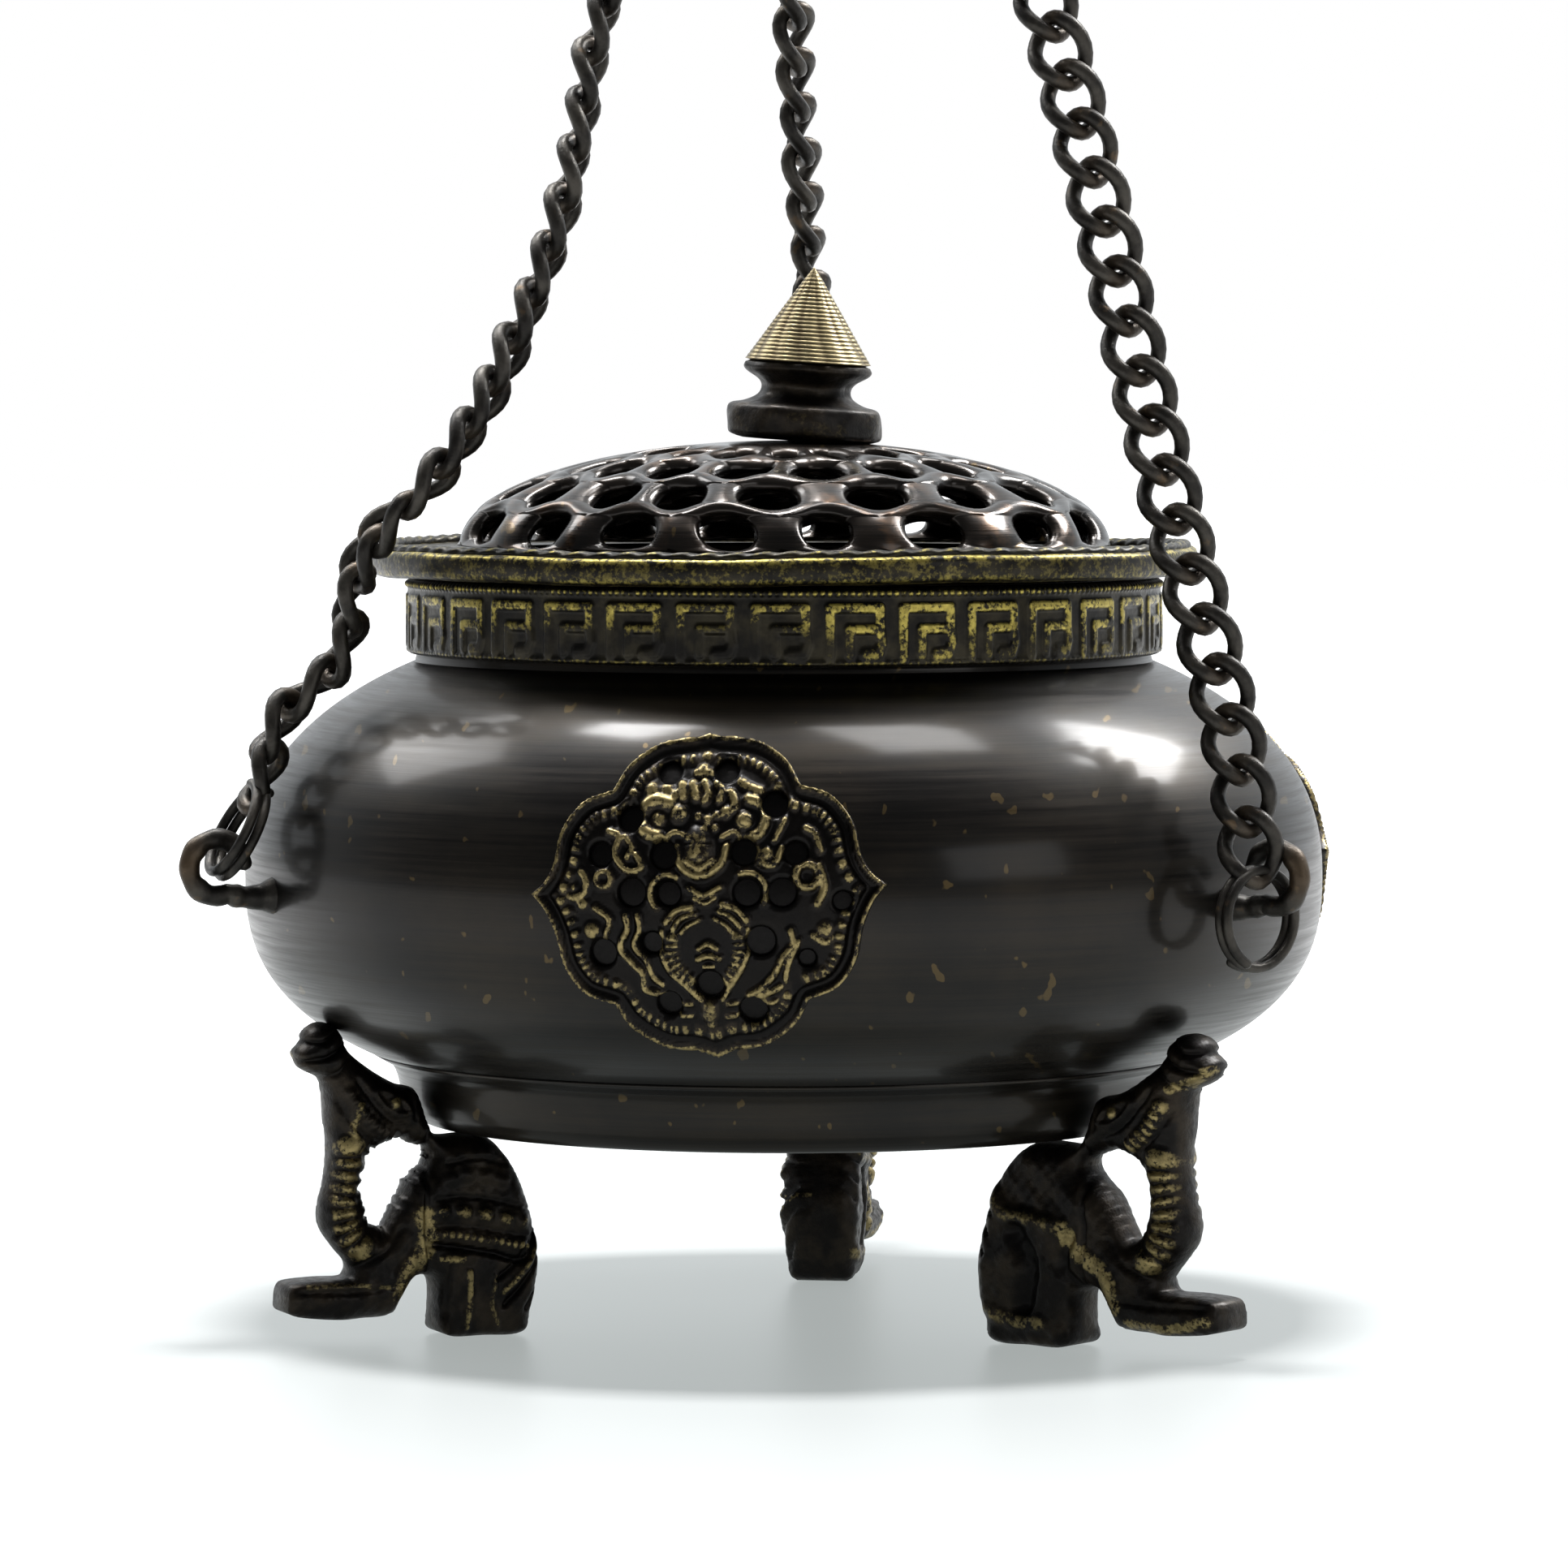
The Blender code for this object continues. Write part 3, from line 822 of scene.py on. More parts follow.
@dataclass
class Belly:
    """The spun bowl: two quarter superellipses that meet at the widest ring, a short neck, and a ring below."""

    widest_z: float = 47.4
    upper_height: float = 28.6
    upper_power: float = 2.3
    lower_height: float = 24.4
    lower_power: float = 2.6
    wall: float = 1.6
    neck: float = 38.8
    columns: int = 256

    def __post_init__(self) -> None:
        """Reads the CAD bowl's radius, bottom and rim."""
        low, high = box_mm("bowl")
        self.radius, self.bottom, self.rim = float(high[0]), float(low[2]), float(high[2])

    def radius_at(self, z: Array, offset: float = 0.0) -> Array:
        """The belly's radius at a height: R (1 - |dz / h|^n)^(1/n), each of R and h grown by the offset.

        Args:
            z: The heights.
            offset: How far outside the belly, below 0 for inside.

        Returns:
            The radius at each height.
        """
        above = z >= self.widest_z
        height = np.where(above, self.upper_height, self.lower_height) + offset
        power = np.where(above, self.upper_power, self.lower_power)
        share = np.clip(np.abs(z - self.widest_z) / height, 0, 1)
        return (self.radius + offset) * (1 - share**power) ** (1 / power)

    def skin(self, offset: float, low: float, high: float, steps: int) -> Array:
        """Points (r, z) up the belly from one height to another, closer together towards both ends."""
        z = low + (high - low) * (1 - np.cos(np.linspace(0, math.pi, steps))) / 2
        return np.stack([self.radius_at(z, offset), z], axis=-1)

    def build(self) -> None:
        """Builds the bowl and its base ring."""
        shoulder = self.widest_z + 0.79 * self.upper_height
        inner_floor = self.bottom + self.wall
        neck = self.neck
        outer = self.skin(0.0, 27.3, shoulder, 60)
        throat = smooth_line([(outer[-1][0], outer[-1][1]), (neck + 0.15, 70.6), (neck, 71.6)], 5)[1:]
        lip = rounded([(neck, 73.5), (neck, self.rim), (neck - self.wall, self.rim), (neck - self.wall, 73.5)], 0.5)
        hollow = self.skin(-self.wall, inner_floor + 2.0, shoulder - 0.6, 36)[::-1]
        floor = smooth_line([hollow[-1], (36.5, inner_floor + 0.4), (30.0, inner_floor), (12.0, inner_floor)], 5)[1:]
        under = [(0.0, self.bottom), (20.0, self.bottom), (33.0, self.bottom + 0.1), (37.0, 26.0), (40.0, 26.7)]
        profile = np.vstack([under, outer, throat, lip, hollow, floor, [(0.0, inner_floor)]])
        shape = Shape()
        shape.add(*turned(profile, self.columns, closed=False))
        shape.build("spun_bowl", POLISHED, Body.BOWL, ["bowl"], "dark_bronze", weld=1e-3)

        low, _ = box_mm("base_ring")
        foot = float(low[2])
        fillet = smooth_line([(40.0, 22.6), (40.7, 24.4), (41.1, 26.2), (41.9, 27.6), (44.0, 28.78)], 6)[1:-1]
        corners = ((44.0, 28.78), (43.0, 28.2), (41.2, 27.2), (38.2, 26.3), (37.3, 26.0))
        profile = np.vstack([rounded(((37.3, 26.0), (37.3, foot + 0.4), (38.6, foot), (40.0, 22.6)), 0.7)[2:-2],
                             fillet, corners])
        ring = Shape()
        ring.add(*turned(profile, self.columns))
        ring.build("base_ring_turned", POLISHED, Body.BOWL, ["base_ring"], "dark_bronze")


@dataclass
class FretBand:
    """The strip round the neck: a key pattern in low relief between a row of beads and a milled edge."""

    units: int = 33
    columns_per_unit: int = 50
    line: float = 0.47
    depth: float = 0.24
    beads_per_unit: int = 10
    rows: int = 44
    inside: float = 39.0
    drop: float = 0.4

    def key(self, across: Array, up: Array) -> Array:
        """How far each place is raised by the key pattern, from 0 to 1.

        Args:
            across: Millimetres from the unit's left edge.
            up: Millimetres from the band's lower edge.

        Returns:
            1 on the lines and 0 between them, with soft sides.
        """
        hook = np.array([(0.75, 0.9), (0.75, 5.5), (5.9, 5.5), (5.9, 3.35), (2.75, 3.35), (2.75, 1.1)])
        tail = np.array([(5.9, 3.35), (6.1, 1.9), (5.7, 1.1), (4.3, 1.0)])
        places = np.stack([across, up], axis=-1).reshape(-1, 2)
        distance = np.minimum(nearest_on(places, hook[:-1], hook[1:])[0],
                              nearest_on(places, tail[:-1], tail[1:])[0])
        return 1 - smooth_step(distance, self.line * 0.7, self.line * 1.35).reshape(across.shape)

    def build(self) -> None:
        """Builds the band."""
        low, high = box_mm("fret_band")
        radius, tall = float(high[0]), float(high[2] - low[2])
        columns = self.units * self.columns_per_unit
        angle = np.linspace(0, 2 * math.pi, columns, endpoint=False)
        up = np.linspace(0, 1, self.rows) ** 0.97 * tall
        unit_width = 2 * math.pi * radius / self.units
        across = (np.arange(self.columns_per_unit) / self.columns_per_unit * unit_width)[None, :]
        key = np.tile(self.key(across + 0 * up[:, None], up[:, None] + 0 * across), (1, self.units))
        beads = np.abs(np.cos(angle * self.units * self.beads_per_unit / 2))[None, :]
        top = np.clip(1 - ((up[:, None] - tall + 0.62) / 0.42) ** 2, 0, 1) * beads
        edge = np.clip(1 - ((up[:, None] - 0.32) / 0.3) ** 2, 0, 1) * (0.6 + 0.4 * beads)
        age = 0.5 + 0.32 * np.sin(2.3 * angle + 1.1) + 0.22 * np.sin(5.1 * angle) + 0.2 * np.sin(9.7 * angle + 2)
        rubbed = np.clip(0.55 * age[None, :] + 0.5 * smooth_step(up, 1.6, 4.6)[:, None], 0.12, 1)
        height = np.maximum(np.maximum(key * self.depth, top * 0.34), edge * 0.2)
        end = np.minimum(np.minimum(up, tall - up)[:, None] / 0.25, 1)
        around = radius - 0.25 * (1 - end) - 0.12 + height
        around = around + 0.05 * np.sin(3 * angle + 0.6)[None, :]
        worn = np.maximum(np.maximum(key * rubbed, top * (0.35 + 0.6 * rubbed)), edge * 0.5)
        sag = 0.09 * np.sin(2 * angle + 0.8)[None, :] * smooth_step(-up, -3, 0)[:, None]
        z = low[2] - self.drop * smooth_step(-up, -2.0, 0)[:, None] + up[:, None] + sag
        inner = np.array([[self.inside, high[2]], [self.inside, low[2]]])
        r = np.vstack([around, np.repeat(inner[:, :1], columns, 1)])
        z = np.vstack([z, np.repeat(inner[:, 1:], columns, 1)])
        points = np.stack([r * np.cos(angle), r * np.sin(angle), z], axis=-1)
        shape = Shape()
        worn = np.vstack([worn, np.zeros((2, columns))])
        shape.add(points, grid_faces(self.rows + 2, columns, True, True), worn)
        shape.build("key_pattern_band", FRET, Body.BOWL, ["fret_band"], "worn_brass")


# ---------------------------------------------------------------------------------------------------- lid


@dataclass
class LidFlange:
    """The lid's flat rim: a dark edge, a rubbed corner and a strip like twisted rope on top of it."""

    twists: int = 96
    columns: int = 960
    rope: float = 0.72
    hole: float = 32.9

    def build(self) -> None:
        """Builds the flange and the spigot under it."""
        low, high = box_mm("lid_flange")
        bottom, top, radius = float(low[2]), float(high[2]), float(high[0])
        hole, low_top = self.hole, top - 0.2
        profile = np.array([(hole, bottom), (41.0, bottom), (radius - 0.7, bottom), (radius - 0.15, bottom + 0.35),
                            (radius, bottom + 0.9), (radius, top - 0.75), (radius - 0.12, top - 0.3),
                            (radius - 0.5, top - 0.02), (radius - 1.4, top), (radius - 2.8, low_top), (36.0, low_top),
                            (hole, low_top), (hole, top - 1.2)])
        worn = np.array([0, 0, 0.2, 0.5, 0.34, 0.36, 0.6, 0.72, 0.6, 0.2, 0, 0, 0])
        points, faces, worn = turned(profile, self.columns, True, worn)
        angle = np.linspace(0, 2 * math.pi, self.columns, endpoint=False)
        wave = 0.17 * np.sin(2 * angle + 2.2) + 0.10 * np.sin(5 * angle + 0.5) + 0.04 * np.sin(17 * angle)
        points[..., 2] += wave * smooth_step(points[..., 0] ** 2 + points[..., 1] ** 2, 36.0**2, 41.0**2)
        shape = Shape()
        shape.add(points, faces, worn)

        turn = np.linspace(0, 2 * math.pi, 12, endpoint=False)[:, None]
        strand = 0.70 + 0.30 * np.abs(np.cos(turn + angle * self.twists / 2))
        r = radius - 1.45 - self.rope * strand * np.cos(turn) * 1.1
        z = top + 0.12 + wave + self.rope * strand * np.sin(turn) * 0.85
        points = np.stack([r * np.cos(angle), r * np.sin(angle), z], axis=-1)
        rubbed = np.clip((strand - 0.8) * 4, 0, 1) * np.clip(np.sin(turn) + 0.3, 0, 1)
        shape.add(points, grid_faces(12, self.columns, True, True), rubbed * 0.62)
        shape.build("lid_rim", FRET, Body.LID, ["lid_flange"], "worn_brass")

        low, high = box_mm("lid_spigot")
        outside, inside = float(high[0]), float(high[0]) - 1.3
        ring = rounded(((inside, low[2]), (outside, low[2]), (outside, high[2] + 0.35), (inside, high[2] + 0.35)), 0.3)
        spigot = Shape()
        spigot.add(*turned(ring, 192))
        spigot.build("lid_spigot_turned", CAST, Body.LID, ["lid_spigot"], "dark_bronze")


@dataclass
class PiercedDome:
    """The lid's dome: a net of soft rounded ribs round staggered rows of holes.

    The dome is cut into cells, one round each hole. In a cell the place goes straight from the hole's outline to the
    cell's edge, while the height goes round a quarter ellipse, so that a rib's section is round on both faces.
    """

    holes: int = 18
    thickness: float = 2.3
    rows: tuple[tuple[float, float, float], ...] = (  # a hole's middle up the arc, its half height and half width
        (2.6, 2.35, 2.85), (8.7, 2.9, 2.75), (15.9, 2.95, 2.4), (23.8, 2.5, 1.8))
    edges: tuple[float, ...] = (0.0, 5.0, 11.8, 19.6, 28.4)
    zigzag: tuple[float, ...] = (0.0, 1.15, 1.5, 1.7, 0.0)
    turn: float = math.radians(7.0)
    per_side: int = 16
    layers: int = 6

    def __post_init__(self) -> None:
        """Measures the meridian of the CAD dome, an ellipse quadrant, along its arc."""
        low, high = box_mm("lid_dome")
        self.radius, self.base, self.height = float(high[0]) - 0.35, float(low[2]), float(high[2] - low[2]) - 0.2
        angle = np.linspace(0, math.pi / 2, 400)
        self.meridian = np.stack([self.radius * np.cos(angle), self.base + self.height * np.sin(angle)], axis=-1)
        self.arc = np.concatenate([[0], np.cumsum(np.linalg.norm(np.diff(self.meridian, axis=0), axis=1))])

    def on_dome(self, angle: Array, along: Array, height: Array) -> Array:
        """Points on or near the dome. Its net is a little twisted and uneven, and closer together at the front.

        Args:
            angle: The angle round the axis.
            along: The distance up the meridian.
            height: The height along the dome's normal.

        Returns:
            The points.
        """
        r, z = (np.interp(along, self.arc, self.meridian[:, k]) for k in range(2))
        normal = np.stack([r / self.radius**2, (z - self.base) / self.height**2], axis=-1)
        normal = unit(normal)
        r, z = r + height * normal[..., 0], z + height * normal[..., 1]
        angle = angle + 0.026 * np.sin(3 * angle + 0.22 * along + 0.8) + 0.015 * np.sin(7 * angle - 0.3 * along)
        angle = angle + 0.087 * (1 + np.sin(angle - math.radians(8)))
        return np.stack([r * np.cos(angle), r * np.sin(angle), z], axis=-1)

    def cell_edge(self) -> tuple[Array, Array]:
        """Goes round a cell's edge in a 2 by 2 square, evenly along each side, from the lower left corner.

        Returns:
            The points' x and y.
        """
        step = np.linspace(-1, 1, self.per_side, endpoint=False)
        side = np.ones(self.per_side)
        return np.concatenate([step, side, -step, -side]), np.concatenate([-side, step, side, -step])

    def build(self) -> None:
        """Builds the net, the crown and the plain strip at the foot."""
        shape = Shape()
        x, y = self.cell_edge()
        turn = np.arctan2(y, x)
        cells = np.arange(self.holes)[:, None, None]
        depth = np.linspace(-1, 1, 2 * self.layers + 1)[None, :, None]
        share, rise = np.abs(depth), np.sign(depth) * np.sqrt(1 - (1 - np.abs(depth)) ** 2)
        for row, (middle, tall, wide) in enumerate(self.rows):
            low, high = self.edges[row], self.edges[row + 1]
            pitch = 2 * math.pi / self.holes
            centre = (cells + 0.5 * (row % 2)) * pitch + self.turn
            size = 0.92 + 0.11 * np.sin(2.7 * cells + 1.9 * row) + 0.05 * np.sin(5.3 * cells + row)
            size = size - 0.14 * np.sin(centre)
            wide = wide / np.interp(middle, self.arc, self.meridian[:, 0]) * size
            tall = tall * (0.90 + 0.08 * np.sin(3.1 * cells + 0.7 * row) - 0.12 * np.sin(centre))
            power = 2 / 2.3
            hole_x = wide * np.sign(np.cos(turn)) * np.abs(np.cos(turn)) ** power
            hole_y = tall * np.sign(np.sin(turn)) * np.abs(np.sin(turn)) ** power
            lean = 0.016 * np.sin(1.7 * cells + 2.1 * row)
            angle = centre + (1 - share) * (hole_x + lean) + share * x * pitch / 2
            swing = np.where(y > 0, self.zigzag[row + 1], self.zigzag[row]) * np.cos(math.pi * x) * y
            edge_y = (low + high) / 2 + (high - low) / 2 * y + swing
            along = (1 - share) * (middle + hole_y) + share * edge_y
            height = rise * self.thickness / 2 + 0 * angle
            points = self.on_dome(angle, along, height - self.thickness / 2 + 0.35)
            rubbed = np.clip(rise, 0, 1) ** 6 * np.clip(0.1 + 0.5 * np.sin(1.3 * cells + 2 * row), 0, 1) + 0 * angle
            faces = grid_faces(points.shape[1], points.shape[2], False, True)
            count = points.shape[1] * points.shape[2]
            faces = (faces[None] + (np.arange(self.holes) * count)[:, None, None]).reshape(-1, 4)
            shape.add(points, faces[:, ::-1], rubbed)
        self.add_crown_and_foot(shape)
        dome = shape.build("pierced_dome", LID_PATINA, Body.LID, ["lid_dome"], "dark_bronze", weld=2e-3)
        work = bmesh.new()
        work.from_mesh(dome.data)
        bmesh.ops.recalc_face_normals(work, faces=work.faces)
        work.to_mesh(dome.data)
        work.free()

    def add_crown_and_foot(self, shape: Shape) -> None:
        """Adds the crown inside the last row and the foot below the first, on both faces.

        Args:
            shape: The dome's shape so far.
        """
        columns = self.holes * self.per_side
        crown_shift = 0.5 * ((len(self.rows) - 1) % 2)
        for along, offset in ((np.linspace(self.edges[-1], self.arc[-1] - 2.0, 9), crown_shift),
                              (np.linspace(self.edges[0], -0.01, 2), 0.0)):
            start = (offset - 0.5) * 2 * math.pi / self.holes + self.turn
            angle = start + np.linspace(0, 2 * math.pi, columns, endpoint=False)[None, :]
            top = self.on_dome(angle, along[:, None] + 0 * angle, 0.35 + 0 * angle)
            under = self.on_dome(angle, along[:, None] + 0 * angle, 0.35 - self.thickness + 0 * angle)
            points = np.concatenate([top, under[::-1]], axis=0)
            shape.add(points, grid_faces(len(points), columns, False, True), 0.0)


@dataclass
class Finial:
    """The knob: a dark collar and flared skirt, and a pale cone with turned grooves and flutes, leaning a little."""

    foot: Point = (2.0, 0.3, 93.25)
    lean: float = math.radians(3.8)
    columns: int = 96

    def stand(self, points: Array) -> Array:
        """Leans points that were made on the Z axis, and sets them on the crown."""
        turn = np.array(Euler((0, self.lean, 0)).to_matrix())
        return points @ turn.T + np.array(self.foot)

    def build(self) -> None:
        """Builds the neck, the cone and the stud."""
        self.build_neck()
        self.build_cone()
        stud = Shape()
        profile = np.array([(0, -4.0), (2.4, -3.95), (3.1, -3.6), (3.2, -3.1), (1.5, -2.9), (1.5, 12.3), (0, 12.5)])
        points, faces, worn = turned(profile, 32, closed=False)
        stud.add(self.stand(points), faces, worn)
        stud.build("finial_rivet", CAST, Body.LID, ["finial_stud"], "worn_brass", weld=1e-3)

    def build_neck(self) -> None:
        """Builds the collar and the skirt, filed uneven and chipped at the lower edge of the skirt."""
        outer = smooth_line([(7.3, 0.15), (8.05, 0.5), (8.2, 1.4), (8.15, 2.9), (7.7, 3.6), (6.3, 3.95), (5.1, 4.6),
                             (4.75, 5.4), (5.1, 6.2), (6.35, 7.0), (6.75, 7.5), (6.6, 8.0)], 6)
        profile = np.vstack([[(1.8, 0.0), (6.6, 0.0)], outer, [(6.0, 8.25), (1.8, 8.25)]])
        points, faces, _ = turned(profile, self.columns)
        angle = np.arctan2(points[..., 1], points[..., 0])
        up = points[..., 2]
        dent = 0.012 * np.sin(5 * angle + 1.1 * up) + 0.009 * np.sin(11 * angle - 0.7 * up)
        chip = smooth_step(np.sin(4 * angle + 0.9) + 0.6 * np.sin(9 * angle), 0.9, 1.5) * smooth_step(up, 6.3, 6.9)
        scale = 1 + (dent - 0.07 * chip) * (np.hypot(points[..., 0], points[..., 1]) > 2)
        points[..., :2] *= scale[..., None]
        rubbed = 0.28 * smooth_step(np.hypot(points[..., 0], points[..., 1]), 7.9, 8.25)
        shape = Shape()
        shape.add(self.stand(points), faces, rubbed)
        shape.build("finial_collar", CAST, Body.LID, ["finial_neck"], "dark_bronze")

    def build_cone(self) -> None:
        """Builds the cone.

        Its radius falls evenly to the rounded tip. It is cut by 24 grooves round it, and flattened into 14 flutes
        down it.
        """
        up = np.linspace(0, 1, 132)
        radius = 6.6 * (1 - up) ** 0.96 + 0.12 * np.sqrt(np.clip(1 - up, 0, 1))
        angle = np.linspace(0, 2 * math.pi, 168, endpoint=False)[None, :]
        groove = np.abs(np.cos(math.pi * 24 * up))[:, None] ** 0.6
        flute = np.abs(np.cos(7 * angle + 0.8 * np.sin(3 * up)[:, None]))
        fade = smooth_step(1 - up, 0.0, 0.22)[:, None]
        r = radius[:, None] * (1 - 0.030 * (1 - flute)) - 0.10 * (1 - groove) * fade
        z = 8.35 + 10.0 * up[:, None] + 0 * angle
        points = np.stack([r * np.cos(angle), r * np.sin(angle), z], axis=-1)
        worn = groove * (0.45 + 0.55 * flute)
        base = np.array([(1.8, 13.0), (1.8, 8.6), (6.1, 8.2)])
        lower, _, _ = turned(base, 168)
        crown = np.zeros((1, 168, 3)) + [0, 0, 13.2]
        tip = np.zeros((1, 168, 3)) + [0, 0, 18.36]
        rows = np.concatenate([crown, lower, points, tip])
        worn = np.concatenate([np.zeros((4, 168)), worn, np.ones((1, 168))])
        shape = Shape()
        shape.add(self.stand(rows), grid_faces(len(rows), 168, False, True), worn)
        shape.build("finial_point", PALE, Body.LID, ["finial_cone"], "pale_brass", weld=1e-3)


# ---------------------------------------------------------------------------------------------------- feet


@dataclass
class ElephantFoot:
    """A cast elephant that holds the bowl up, its head raised under the rim and its forefoot stretched out.

    Places on it are (distance from the bowl's axis, height). Its half thickness is a blend of that of its limbs,
    rounded off towards its outline as the square root of 1 - (1 - distance in / edge)^2.
    """

    step: float = 0.27
    edge: float = 2.4
    rim: float = 0.55
    outline: tuple[Point, ...] = (
        (39.3, 21.0), (40.4, 22.3), (41.3, 24.6), (42.2, 26.0), (44.5, 26.6), (47.5, 28.2), (50.0, 30.1),
        (50.8, 31.8), (51.9, 32.9), (53.6, 33.1), (55.0, 32.3), (55.5, 31.1), (56.3, 30.2), (55.9, 28.8), (54.9, 28.1),
        (53.3, 27.3), (52.7, 25.5), (52.5, 22.5), (52.2, 20.0), (52.6, 16.5), (53.3, 14.0), (53.2, 11.8), (51.6, 9.6),
        (50.2, 8.0), (50.4, 6.5), (53.5, 6.4), (56.6, 6.2), (57.6, 5.7), (57.9, 4.4), (57.6, 3.1), (54.4, 2.5),
        (49.0, 2.2), (45.2, 2.4), (44.0, 4.0), (42.4, 6.1), (40.6, 6.3), (39.8, 5.0), (39.8, 1.6), (38.6, 0.1),
        (34.4, 0.0), (30.4, 0.0), (28.8, 1.2), (27.6, 5.0), (27.4, 8.8), (28.4, 13.0), (29.8, 16.6), (31.4, 19.0),
        (33.0, 20.4), (35.0, 21.1),
    )
    hole: tuple[Point, ...] = (
        (41.8, 20.2), (40.6, 19.2), (41.0, 18.0), (43.4, 15.6), (44.8, 13.2), (46.2, 11.4),
        (47.8, 12.6), (48.5, 15.0), (48.3, 18.0), (46.8, 20.0), (44.4, 20.8),
    )
    squeeze: dict[Side, float] = field(default_factory=lambda: {Side.LEFT: 0.91, Side.RIGHT: 1.0, Side.BACK: 1.0})
    flash: dict[Side, float] = field(default_factory=lambda: {Side.LEFT: 0.34, Side.RIGHT: 0.08, Side.BACK: 0.1})
    limbs: tuple[tuple[float, float, float, float], ...] = (  # distance out, height, reach, half thickness
        (33.4, 9.5, 5.5, 4.2), (35.0, 17.5, 3.5, 3.6), (35.0, 2.0, 3.5, 3.7), (42.5, 9.0, 3.0, 3.2),
        (47.0, 4.0, 3.0, 3.4), (54.0, 4.3, 3.0, 3.5), (50.5, 12.0, 2.8, 2.7), (50.3, 19.0, 2.6, 2.7),
        (46.0, 24.2, 3.5, 3.5), (40.5, 22.5, 2.5, 2.8), (53.6, 30.4, 2.6, 3.0),
    )

    def common(self) -> list[Mark]:
        """Relief that both faces have: the trunk's ribs, the strap over the head, the eye and the knob's folds.

        Returns:
            The marks, as (distance from the bowl's axis, height).
        """
        trunk = ((50.6, 19.9), (50.6, 18.2), (50.9, 16.0), (51.2, 13.8), (50.7, 11.6), (49.4, 9.8))
        almond = ((43.2, 23.6), (44.3, 25.1), (46.0, 25.9), (47.7, 26.1), (46.6, 24.6), (45.0, 23.6), (43.2, 23.6))
        return [
            Mark(trunk, 1.9, 0.85, 1.32, 1.2),
            Mark(((51.9, 25.2), (50.4, 22.9), (48.3, 21.1), (46.4, 20.2)), 0.3, -0.45),
            Mark(((49.8, 27.2), (48.4, 25.4), (46.4, 23.4), (43.6, 22.1)), 0.28, -0.4),
            Mark(almond, 0.34, 0.42, worn=0.3), dot(45.3, 24.8, 0.75, 0.5),
            Mark(((42.6, 22.9), (43.6, 26.0), (47.4, 27.6)), 0.3, -0.3),
            Mark(((51.6, 32.4), (53.4, 31.3), (55.3, 31.2)), 0.4, -0.75),
            Mark(((50.9, 30.8), (53.0, 29.7), (55.8, 29.3)), 0.4, -0.75),
            Mark(((50.6, 29.4), (51.8, 28.1), (53.4, 27.5)), 0.35, -0.5),
            Mark(((40.9, 21.4), (41.6, 12.4), (40.9, 6.6)), 0.35, -0.7),
            Mark(((44.2, 11.6), (46.0, 9.4), (48.8, 8.2), (51.0, 7.0)), 0.4, -0.4),
            Mark(((44.8, 5.6), (50.0, 5.2), (57.0, 5.4)), 0.4, -0.3),
        ]

    def blanket(self) -> list[Mark]:
        """The saddle blanket's rows, the hind leg's creases and the tail, on the face towards +sideways.

        Returns:
            The marks, as (distance from the bowl's axis, height).
        """
        return [
            Mark(((50.6, 25.9), (49.4, 24.3), (47.4, 22.3), (45.2, 21.1)), 0.7, 0.6, 0.9, 0.3),
            Mark(((40.4, 10.9), (37.8, 10.7), (34.0, 10.1), (29.6, 9.3)), 0.5, 0.5, 0.85),
            Mark(((40.8, 9.8), (37.8, 9.4), (33.8, 8.7), (30.0, 7.9), (28.3, 10.6)), 0.42, -0.85),
            Mark(((40.6, 11.8), (37.0, 11.7), (32.5, 10.9), (28.6, 10.2)), 0.22, -0.4),
            Mark(((39.9, 13.3), (36.8, 13.1), (33.6, 12.6), (30.0, 11.9)), 0.85, 0.6, 2.6, 0.75),
            Mark(((40.6, 14.6), (36.6, 14.7), (32.0, 13.9), (28.9, 13.0)), 0.25, -0.45),
            Mark(((38.9, 16.6), (35.4, 17.0), (31.4, 16.0)), 0.8, 0.4, 2.2, 0.1),
            Mark(((39.0, 18.2), (35.2, 18.7), (31.9, 17.9)), 0.25, -0.4),
            Mark(((41.9, 12.8), (41.4, 10.8), (42.0, 8.8), (43.4, 7.2), (44.5, 4.6)), 1.6, 0.28, worn=0.95),
            Mark(((36.6, 6.8), (36.5, 4.0), (36.8, 1.0)), 0.5, 0.4, worn=0.8),
            Mark(((33.4, 6.2), (33.9, 3.4), (33.0, 1.0)), 0.45, 0.35, worn=0.5),
            Mark(((38.6, 7.6), (38.9, 3.6), (38.6, 0.8)), 0.35, -0.4),
            Mark(((28.2, 11.4), (30.6, 8.0), (33.2, 6.0)), 0.35, -0.6),
            Mark(((27.6, 8.8), (29.8, 5.6), (32.2, 3.2)), 0.4, -0.6), Mark(((27.8, 5.6), (29.6, 2.6)), 0.35, -0.5),
            Mark(((27.8, 9.9), (29.9, 7.0), (32.4, 4.6)), 0.5, 0.35, worn=0.6),
            Mark(((39.8, 8.3), (37.4, 8.2)), 0.5, 0.3, worn=0.9),
            Mark(((49.4, 24.6), (50.2, 21.9), (49.0, 20.4)), 0.7, 0.2, worn=0.7),
            Mark(((55.8, 5.9), (50.5, 5.9), (45.2, 5.4)), 0.5, 0.1, worn=0.5),
        ]

